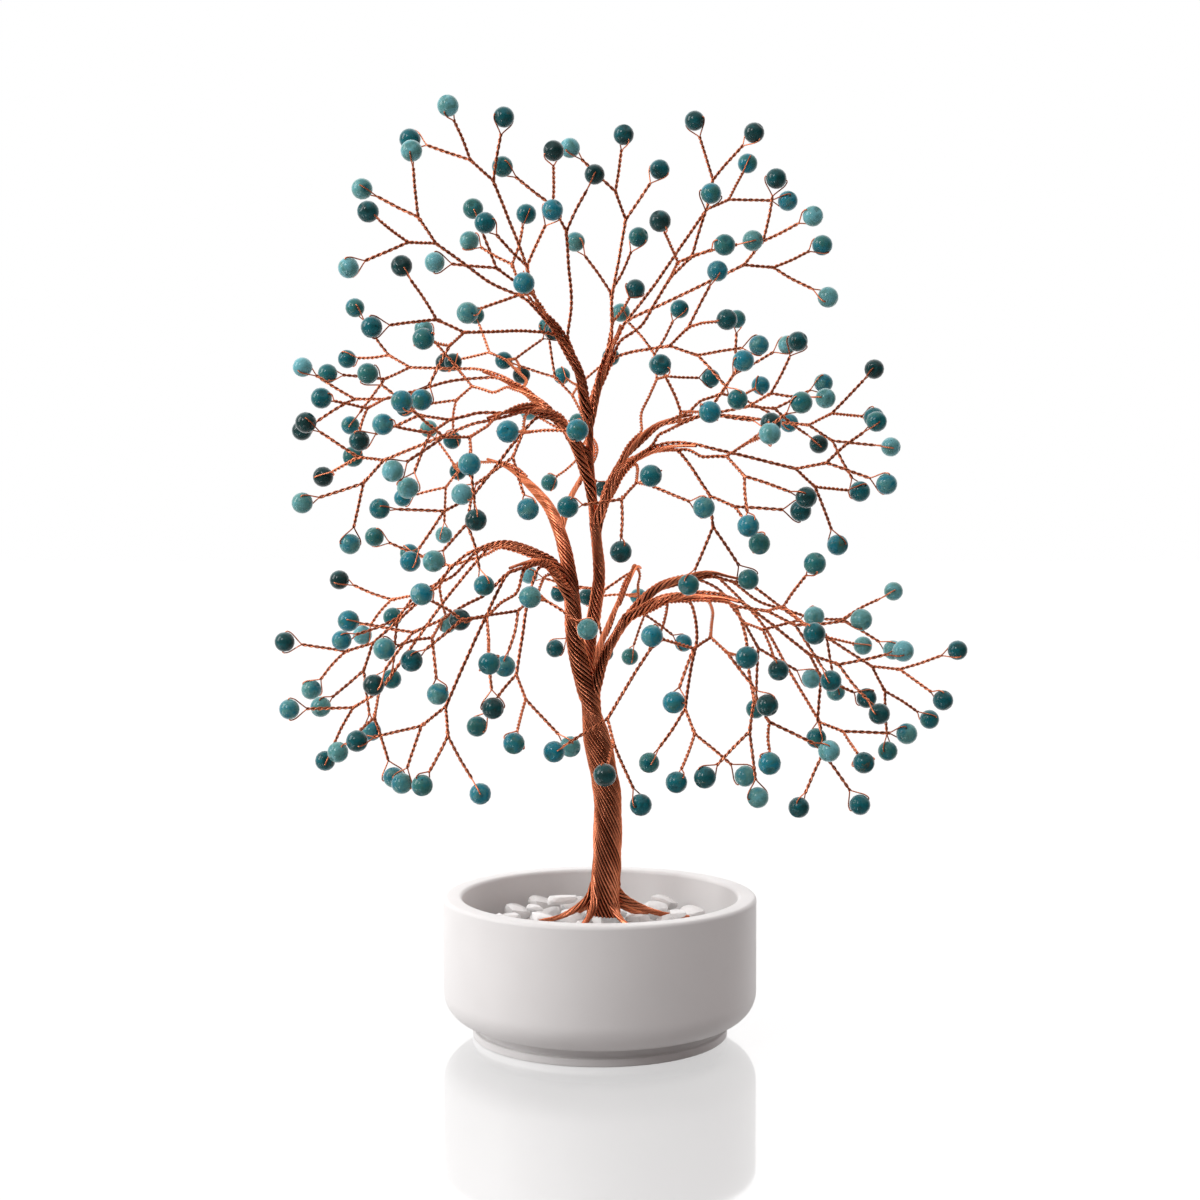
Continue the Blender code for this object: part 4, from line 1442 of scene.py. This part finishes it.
@dataclass
class Wood:
    """The trunk with its limbs and roots: wires that wind round one another."""

    plan: TreePlan
    spacing: float = 0.002
    # How the bundles narrow: all over, along a limb, at its tip, and at the trunk's top and foot
    thin: float = 0.92
    taper: float = 0.45
    taper_power: float = 1.3
    trim: float = 0.93
    tip_from: float = 0.7
    tip_width: float = 0.5
    top_from: float = 0.82
    top_width: float = 0.6
    waist_at: tuple = (0.80, 0.92)
    waist: float = 0.85
    tuck_at: tuple = (0.105, 0.122)
    tuck: float = 0.78
    flare: float = 0.12
    flare_height: float = 0.012
    # The strands, and the filled middle below them in strand radii
    strand: float = 0.00042
    strand_sides: int = 8
    strand_phase: float = 1.3
    least_strands: int = 6
    strands_per_lobe: int = 7
    least_lobes: int = 2
    common_share: float = 75.0
    groove: float = 0.03
    unevenness: float = 0.05
    core_depth: float = 1.7
    core_least: float = 0.2
    core_sides: int = 12
    core_guide: tuple = (0.3, 1.0, 0.2)
    # The length of a turn, at the radius where it holds
    pitch: float = 0.053
    pitch_radius: float = 0.0045
    least_pitch: float = 0.35
    # How a bundle winds out of its host, counted in points and in its own radii
    lead: int = 11
    lead_first: int = 2
    lead_every: int = 3
    lead_depth: float = 0.7
    lead_deepening: float = 0.6
    sink: float = 0.0011
    narrowing: float = 0.75
    limb_clear: float = 0.5
    limb_leave: int = 3
    root_clear: float = 0.7
    root_leave: float = 0.007
    root_taper: float = 0.5
    root_sink: float = 0.0014

    def __post_init__(self) -> None:
        """Work out each limb's fine centre line and radii."""
        self.fine = {}
        for limb in LIMBS:
            path, radii = self.plan.fine_limb(limb, self.spacing)
            shares = shares_along(path)
            radii = radii * self.thin
            if limb.parent:
                radii = radii * (1.0 - self.taper * shares ** self.taper_power)
                last = max((spray.share for spray in SPRAYS if spray.limb == limb.name), default=1.0)
                kept = shares <= (last * self.trim if last < 1.0 else 1.0)
                path, radii, shares = path[kept], radii[kept], shares[kept] / shares[kept][-1]
                radii = radii * np.interp(shares, (self.tip_from, 1.0), (1.0, self.tip_width))
            else:
                low = np.clip(1.0 - (path[:, 2] - path[0, 2]) / self.flare_height, 0, 1)
                radii = radii * (1.0 + self.flare * low ** 2)
                radii = radii * np.interp(shares, (self.top_from, 1.0), (1.0, self.top_width))
            self.fine[limb.name] = (path, radii)

    def pitch_at(self, radius: float) -> float:
        """Return the length of one turn of the wires in a bundle of that radius."""
        return self.pitch * max(self.least_pitch, radius / self.pitch_radius)

    def led(self, host: tuple[Path, Path], leave: int, way: int, path: Path,
            radii: Path) -> tuple[Path, Path]:
        """Give a bundle a start that winds out of its host, as the wires that it is made of do.

        Args:
            host: The host's centre line and radii.
            leave: The number of the host's point where the bundle leaves it.
            way: 1 for a limb, which comes from below, or -1 for a root, which comes from above.
            path: The bundle's centre line from there.
            radii: Its radii.

        Returns:
            The whole centre line and the radii there.
        """
        centre, thick = host
        out = path[0] - centre[leave]
        tangents = np.gradient(centre, axis=0)
        knots, sizes = [], []
        for back in range(self.lead_first, self.lead + 1, self.lead_every):
            index = leave - way * back
            if not 0 <= index < len(centre):
                break
            tangent = unit(tangents[index])
            spin = TURN * way * back * self.spacing / self.pitch_at(thick[index])
            radial = square_to(turned(out, tangent, spin), tangent)
            share = back / self.lead
            sizes.append(radii[0] * (1.0 - self.narrowing * share))
            depth = sizes[-1] * (self.lead_depth + self.lead_deepening * share) + self.sink * share
            knots.append(centre[index] + radial * max(thick[index] - depth, TINY))
        lead = smooth_path(knots[::-1] + [path[0]], self.spacing)
        lead_radii = np.interp(shares_along(lead), (0, 1), (sizes[-1], radii[0]))
        return np.vstack([lead[:-1], path]), np.concatenate([lead_radii[:-1], radii])

    @staticmethod
    def first_of(clear: Path) -> int:
        """Return the number of the first clear point, or 1 where none is clear."""
        return int(np.argmax(clear)) if clear.any() else 1

    def limb_run(self, limb: Limb) -> tuple[Path, Path]:
        """Lead a limb out of its parent.

        Args:
            limb: The limb.

        Returns:
            Its centre line and the radii there.
        """
        path, radii = self.fine[limb.name]
        centre, thick = self.fine[limb.parent]
        apart = np.linalg.norm(path[:, None] - centre[None], axis=2)
        near = apart.argmin(axis=1)
        first = self.first_of(apart.min(axis=1) > thick[near] - radii * self.limb_clear)
        leave = max(int(near[first]) - 1, self.limb_leave)
        return self.led((centre, thick), leave, 1, path[first:], radii[first:])

    def root_run(self, path: Path, radii: Path) -> tuple[Path, Path]:
        """Lead a root down out of the trunk.

        Args:
            path: The root's planned centre line.
            radii: Its radii.

        Returns:
            Its centre line and the radii there.
        """
        centre, thick = self.fine["trunk"]
        leave = int(np.argmin(abs(centre[:, 2] - path[-1, 2] - self.root_leave)))
        apart = np.linalg.norm(path[:, :2] - centre[0, :2], axis=1)
        first = self.first_of(apart > thick[1] - radii * self.root_clear)
        shares = shares_along(path)
        path = path - np.outer(shares ** 2 * self.root_sink, (0.0, 0.0, 1.0))
        radii = radii * self.thin * (1.0 - self.root_taper * shares)
        return self.led((centre, thick), leave, -1, path[first:], radii[first:])

    def ropes(self) -> tuple[list[Rope], list[tuple[Path, Path]]]:
        """Work out the strands of the trunk, limbs and roots.

        Returns:
            The ropes, and the centre lines and radii of their filled middles.
        """
        runs = [(limb.name, self.limb_run(limb) if limb.parent else self.fine[limb.name]) for limb in LIMBS]
        runs += [("root", self.root_run(*root)) for root in self.plan.root_paths(self.spacing)]
        wires, cores = [], []
        for number, (name, (path, radii)) in enumerate(runs):
            if name == "trunk":
                radii = radii * np.interp(shares_along(path), self.waist_at, (1.0, self.waist))
            if name == "main_stem":
                radii = radii * np.interp(path[:, 2], self.tuck_at, (self.tuck, 1.0))
            pitch = self.pitch_at(float(np.median(radii)))
            reach = float(np.percentile(radii, self.common_share)) - self.strand
            slant = math.cos(math.atan(TURN * reach / pitch))
            strands = max(self.least_strands, round(math.pi * reach * slant / self.strand))
            lobes = max(self.least_lobes, round(strands / self.strands_per_lobe))
            wires.append(Rope(path, np.maximum(radii - self.strand, TINY), strands, pitch,
                              number * self.strand_phase, lobes, self.groove))
            least = self.strand * self.core_least
            cores.append((path, np.maximum(radii - self.strand * self.core_depth, least)))
        return wires, cores

    def build(self, tree: RopeTree, material: Any) -> None:
        """Twist the trunk's wires.

        Args:
            tree: The tree that twists wires.
            material: The copper.
        """
        wires, cores = self.ropes()
        # Lift 0.0 leaves the painted shade between the trunk's wires at its darkest
        thing = tree.run("trunk_wires", ropes_mesh("trunk_paths", wires), Step=self.spacing,
                         Wire_Radius=self.strand, Sides=self.strand_sides, Unevenness=self.unevenness,
                         Lift=0.0, Seed=1, Material=material)
        finish_piece(thing, Slot.COPPER, ["trunk"])
        finish_piece(self.core_mesh(cores, material), Slot.COPPER, ["trunk"])

    def core_mesh(self, cores: list[tuple[Path, Path]], material: Any) -> Any:
        """Make the filled middles of the bundles.

        Args:
            cores: Their centre lines and radii.
            material: The copper.

        Returns:
            One object of closed tubes.
        """
        # These tubes carry no outward number, so the copper finish gives them its near-black painted groove
        # shade: painted shade in the gaps between the strands
        points, faces = [], []
        sides = self.core_sides
        for path, radii in cores:
            tangents = np.gradient(path, axis=0)
            for index, (place, tangent) in enumerate(zip(path, tangents)):
                tangent = unit(tangent)
                first = unit(np.cross(tangent, self.core_guide))
                second = np.cross(tangent, first)
                for side in range(sides):
                    angle = TURN * side / sides
                    ring = first * math.cos(angle) + second * math.sin(angle)
                    points.append(tuple(place + ring * radii[index]))
            base = len(points) - sides * len(path)
            for index in range(len(path) - 1):
                for side in range(sides):
                    low, high = base + index * sides, base + (index + 1) * sides
                    after = (side + 1) % sides
                    faces.append((low + side, low + after, high + after, high + side))
            faces.append(tuple(base + side for side in reversed(range(sides))))
            faces.append(tuple(len(points) - sides + side for side in range(sides)))
        return add_faces("trunk_core", points, faces, material)


@dataclass
class Crown:
    """The sprays: twisted stems that fork, loops of wire, and a bead in each loop."""

    plan: TreePlan
    seed: int = 5
    # The length of a turn and how it varies, and the distance of each wire from the pair's axis
    pair_pitch: float = 0.0033
    stem_pitch: float = 0.0034
    arm_range: tuple = (0.85, 1.2)
    side_range: tuple = (0.75, 0.95)
    stem_range: tuple = (0.9, 1.1)
    last_phase: float = 6.3
    pair_ply: float = 0.00026
    side_ply: float = 0.00027
    stem_ply: float = 0.00028
    # The distances between points of a path, and of the wires that wind along it
    stem_step: float = 0.0015
    side_step: float = 0.0009
    arm_step: float = 0.0008
    stem_wire_step: float = 0.00055
    arm_wire_step: float = 0.00045
    loop_wire_step: float = 0.0005
    wire_sides: int = 5
    # How far the painted shade between these thin wires is lifted towards the plain copper, in wire radii
    groove_shade_lift: float = 0.55
    # A stem's run along its limb: its steps, length, turn and depth in the limb's radii
    limb_step: float = 0.001
    limb_run: float = 0.036
    limb_pitch: float = 0.05
    limb_height: float = 0.85
    limb_sink: float = 0.2
    # The loop round a bead, and the bead
    overlap: float = 0.0012
    bow: float = 0.0005
    apex: float = 0.0049
    loop_gap: float = 0.0001
    loop_round: tuple = (1.0, 0.66, 0.33)
    loop_last: float = 0.02
    loop_end: float = 0.86
    margin: float = 0.00025
    bead_sizes: tuple = (0.96, 1.0)
    bead_hole: float = 0.3
    bead_segments: int = 16
    bead_rings: int = 10
    stems: list = field(default_factory=list)
    sides: list = field(default_factory=list)
    arms: list = field(default_factory=list)
    loops: list = field(default_factory=list)
    beads: list = field(default_factory=list)

    def __post_init__(self) -> None:
        """Lay out every rope, loop and bead."""
        self.random = np.random.default_rng(self.seed)
        for spray in self.plan.sprays:
            self.lay_spray(spray)

    def pair(self, path: Path, ply: float, pitch: float, limits: tuple) -> Rope:
        """Return a twisted pair of wires.

        Args:
            path: The path that it follows.
            ply: The distance of each wire from the path.
            pitch: The length of a turn.
            limits: The least and greatest share of that length.

        Returns:
            The rope, its turn and first angle drawn by chance.
        """
        drawn = pitch * self.random.uniform(*limits)
        return Rope(path, ply, 2, drawn, self.random.uniform(0, self.last_phase))

    def lay_spray(self, spray: dict) -> None:
        """Lay out one spray's stem, with its run along the limb, and its branches.

        Args:
            spray: The spray's plan.
        """
        points = self.plan.points
        stem = [points[number] for number in spray["stem"]]
        knots = self.run_along_limb(spray, stem[0]) + stem
        path = smooth_path(knots, self.stem_step)
        self.stems.append(self.pair(path, self.stem_ply, self.stem_pitch, self.stem_range))
        self.lay_branches(spray["branches"], stem[-1], unit(stem[-1] - stem[-2]))

    def run_along_limb(self, spray: dict, base: Path) -> list[Path]:
        """Return points that lead a stem down its limb's surface, sinking in.

        Args:
            spray: The spray's plan.
            base: The place where the stem leaves the limb.

        Returns:
            The points, from the deepest to the last before the base.
        """
        path, radii = self.plan.limbs[spray["limb"]]
        fine = smooth_path(path, self.limb_step)
        fine_radii = np.interp(shares_along(fine), shares_along(path), radii)
        index = int(np.argmin(np.linalg.norm(fine - base, axis=1)))
        out = square_to(base - fine[index], unit(np.gradient(fine, axis=0)[index]))
        knots = []
        steps = int(self.limb_run / self.limb_step)
        for back in range(3, steps, 4):
            here = index - back
            if here < 1:
                break
            share = back / steps
            tangent = unit(fine[here + 1] - fine[here - 1])
            spin = TURN * back * self.limb_step / self.limb_pitch
            radial = square_to(turned(out, tangent, spin), tangent)
            height = fine_radii[here] * (self.limb_height - self.limb_sink * share)
            height += self.plan.wire * (1 - share)
            knots.append(fine[here] + radial * height)
        return knots[::-1]

    def lay_branches(self, branches: list[dict], fork: Path, heading: Path) -> None:
        """Lay out the branches of a fork.

        Args:
            branches: Their plans.
            fork: The place of the fork.
            heading: The direction that the stem arrives in.
        """
        for branch in branches:
            end = self.plan.points[branch["end"]]
            way = unit(end - fork)
            start = fork - heading * self.overlap
            if branch["beads"] > 1:
                path = smooth_path([start, fork, (fork + end) / 2, end], self.side_step)
                self.sides.append(self.pair(path, self.side_ply, self.stem_pitch, self.side_range))
                self.lay_branches(branch["branches"], end, way)
            else:
                self.lay_arm(start, fork, end, way)

    def lay_arm(self, start: Path, fork: Path, bead: Path, way: Path) -> None:
        """Lay out a twisted pair, the loop at its end and the bead in the loop.

        Args:
            start: The place inside the stem where the pair begins.
            fork: The fork.
            bead: The bead's centre.
            way: The direction from the fork to the bead.
        """
        across = unit(np.cross(way, self.random.normal(size=3)))
        bow = unit(np.cross(way, self.random.normal(size=3))) * self.bow * self.random.uniform(-1, 1)
        apex = bead - way * self.apex
        middle = (fork + apex) / 2 + bow
        path = smooth_path([start, fork, middle, apex + way * self.loop_gap * 2], self.arm_step)
        self.arms.append(self.pair(path, self.pair_ply, self.pair_pitch, self.arm_range))
        radius = self.plan.bead / 2 + self.plan.wire / 2
        lean = math.asin(radius / self.apex)
        legs = []
        for side in (-1, 1):
            aside = across * side
            leaving = aside * math.sin(lean) + way * math.cos(lean)
            leg = [apex + aside * self.loop_gap, apex + leaving * self.overlap]
            for angle in (*(lean * share for share in self.loop_round), self.loop_last):
                leg.append(bead + (aside * math.cos(angle) - way * math.sin(angle)) * radius)
            leg.append(bead + aside * radius * self.loop_end + way * self.loop_gap)
            legs.append(leg)
        low, high = (np.array(corner) for corner in CAD_BOX)
        loop = np.clip(legs[0] + [bead] + legs[1][::-1], low + self.margin, high - self.margin)
        self.loops.append(Rope(loop, 0.0, 1, 1.0))
        third = np.cross(across, way)
        matrix = Matrix((third, way, across)).transposed()
        size = self.random.uniform(*self.bead_sizes)
        self.beads.append((bead, tuple(matrix.to_euler()), (size, size, size), self.random.uniform(0, 1)))

    def build(self, ropes: RopeTree, strings: BeadTree, copper: Any, stone: Any) -> None:
        """Make the crown's meshes.

        Args:
            ropes: The tree that twists wires.
            strings: The tree that sets beads.
            copper: The wire's material.
            stone: The beads' material.
        """
        nodes = ["spray_%02d" % number for number in range(1, len(SPRAYS) + 1)]
        for name, rows, step, thick in (
                ("stem_wires", self.stems, self.stem_wire_step, self.stem_ply),
                ("side_stem_wires", self.sides, self.stem_wire_step, self.side_ply),
                ("arm_wires", self.arms, self.arm_wire_step, self.pair_ply),
                ("bead_loops", self.loops, self.loop_wire_step, self.plan.wire / 2)):
            thing = ropes.run(name, ropes_mesh(name + "_paths", rows), Step=step, Wire_Radius=thick,
                              Sides=self.wire_sides, Unevenness=0.0, Lift=self.groove_shade_lift, Seed=2, Material=copper)
            finish_piece(thing, Slot.COPPER, nodes)
        places, turns, sizes, tones = (np.array(column) for column in zip(*self.beads))
        source = points_mesh("bead_places", places, turns, sizes, tones)
        thing = strings.run("stone_beads", source, Radius=self.plan.bead / 2, Hole=self.bead_hole,
                            Segments=self.bead_segments, Rings=self.bead_rings, Material=stone)
        finish_piece(thing, Slot.STONE, nodes)


class Lamp(NamedTuple):
    """A soft light: its name, place, width and height, and power in watts."""

    name: str
    place: tuple
    size: tuple
    power: float


@dataclass
class Studio:
    """The floor, the lights and the camera."""

    lamps: tuple = (Lamp("key", (-1.00, -0.22, 0.66), (0.45, 0.8), 6.8),
                    Lamp("front", (-0.55, -0.85, 0.75), (0.24, 0.36), 3.2))
    lit_place: tuple = (0.0, 0.0, 0.13)
    floor_corners: tuple = ((-6, -4, 0), (6, -4, 0), (6, 8, 0), (-6, 8, 0))
    camera_place: tuple = (0.0, -0.5514, 0.1485)
    camera_pitch: float = 87.84
    lens: float = 56.46
    dim: float = 0.05
    back_glow: float = 1.05
    left_glow: float = 0.14
    top_glow: float = 0.75
    warm: tuple = (1.0, 0.83, 0.81)

    def build(self) -> None:
        """Set up the studio."""
        mesh = bpy.data.meshes.new("studio_floor")
        mesh.from_pydata(self.floor_corners, [], [(0, 1, 2, 3)])
        mesh.materials.append(FloorFinish().make())
        floor = add_object("studio_floor", mesh)
        self.add_world()
        for lamp in self.lamps:
            self.add_light(lamp)
        bpy.context.scene.view_settings.view_transform = "Standard"
        camera = bpy.data.cameras.new("camera")
        camera.lens = self.lens
        camera.sensor_width = 36.0
        thing = add_object("camera", camera)
        thing.location = self.camera_place
        thing.rotation_euler = (math.radians(self.camera_pitch), 0.0, 0.0)
        bpy.context.scene.camera = thing

    def add_world(self) -> None:
        """Light the scene from a pale studio: bright behind, on the left and above, dim in front."""
        world = bpy.data.worlds.new("studio_world")
        world.use_nodes = True
        graph = Graph(world.node_tree)
        background = world.node_tree.nodes["Background"]
        way = graph.add("ShaderNodeTexCoord", output="Generated")
        across = graph.add("ShaderNodeSeparateXYZ", {}, {0: way})
        back = graph.other(across, 1).span(-0.1, 0.7)
        left = (-1.0 * across).span(0.1, 0.8)
        above = graph.other(across, 2).span(0.2, 0.9)
        glow = self.dim + back * self.back_glow + left * self.left_glow + above * self.top_glow
        seen = graph.add("ShaderNodeLightPath", output="Is Camera Ray")
        strength = glow * (1.0 - seen) + seen
        graph.tree.links.new(strength.socket, background.inputs["Strength"])
        tint = graph.mix((glow + seen * 2.0).span(0.1, 1.4), self.warm, (1.0, 1.0, 1.0))
        graph.tree.links.new(tint.socket, background.inputs["Color"])
        bpy.context.scene.world = world

    def add_light(self, lamp: Lamp) -> None:
        """Add a soft light that looks at the tree.

        Args:
            lamp: Its name, place, size and power.
        """
        light = bpy.data.lights.new(lamp.name, "AREA")
        light.shape = "RECTANGLE"
        light.size, light.size_y = lamp.size
        light.energy = lamp.power
        thing = add_object(lamp.name, light)
        thing.location = lamp.place
        way = Vector(self.lit_place) - Vector(lamp.place)
        thing.rotation_euler = way.to_track_quat("-Z", "Y").to_euler()


def check_plan(plan: TreePlan) -> float:
    """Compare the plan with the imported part.

    Args:
        plan: The plan.

    Returns:
        The furthest that a planned bead lies outside its packed spray's box.
    """
    worst = 0.0

    def ends(branches: list[dict]) -> list[int]:
        """Return the point numbers of the beads."""
        return [number for branch in branches
                for number in (ends(branch["branches"]) if branch["branches"] else [branch["end"]])]

    for number, spray in enumerate(plan.sprays, 1):
        low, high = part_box("spray_%02d" % number)
        for end in ends(spray["branches"]):
            point = plan.points[end]
            worst = max(worst, float(np.max(np.array(low) - point)), float(np.max(point - np.array(high))))
    return worst


def main() -> None:
    """Build and dress every piece in order."""
    logging.basicConfig(level=logging.INFO, format="%(message)s")
    plan = TreePlan()
    LOG.info("plan: %d points, %.4f mm outside", len(plan.points), check_plan(plan) * 1000)
    copper, stone = CopperFinish().make(), StoneFinish().make()
    quartz, ceramic = QuartzFinish().make(), CeramicFinish().make()
    bowl = Bowl()
    bowl.build(ceramic)
    bed = ChipBed(bowl.hollow, bowl.floor, plan.chip_level)
    bed.build(ChipTree(bed.shapes), quartz)
    ropes = RopeTree()
    Wood(plan).build(ropes, copper)
    Crown(plan).build(ropes, BeadTree(), copper, stone)
    Studio().build()


if __name__ == "__main__":
    main()
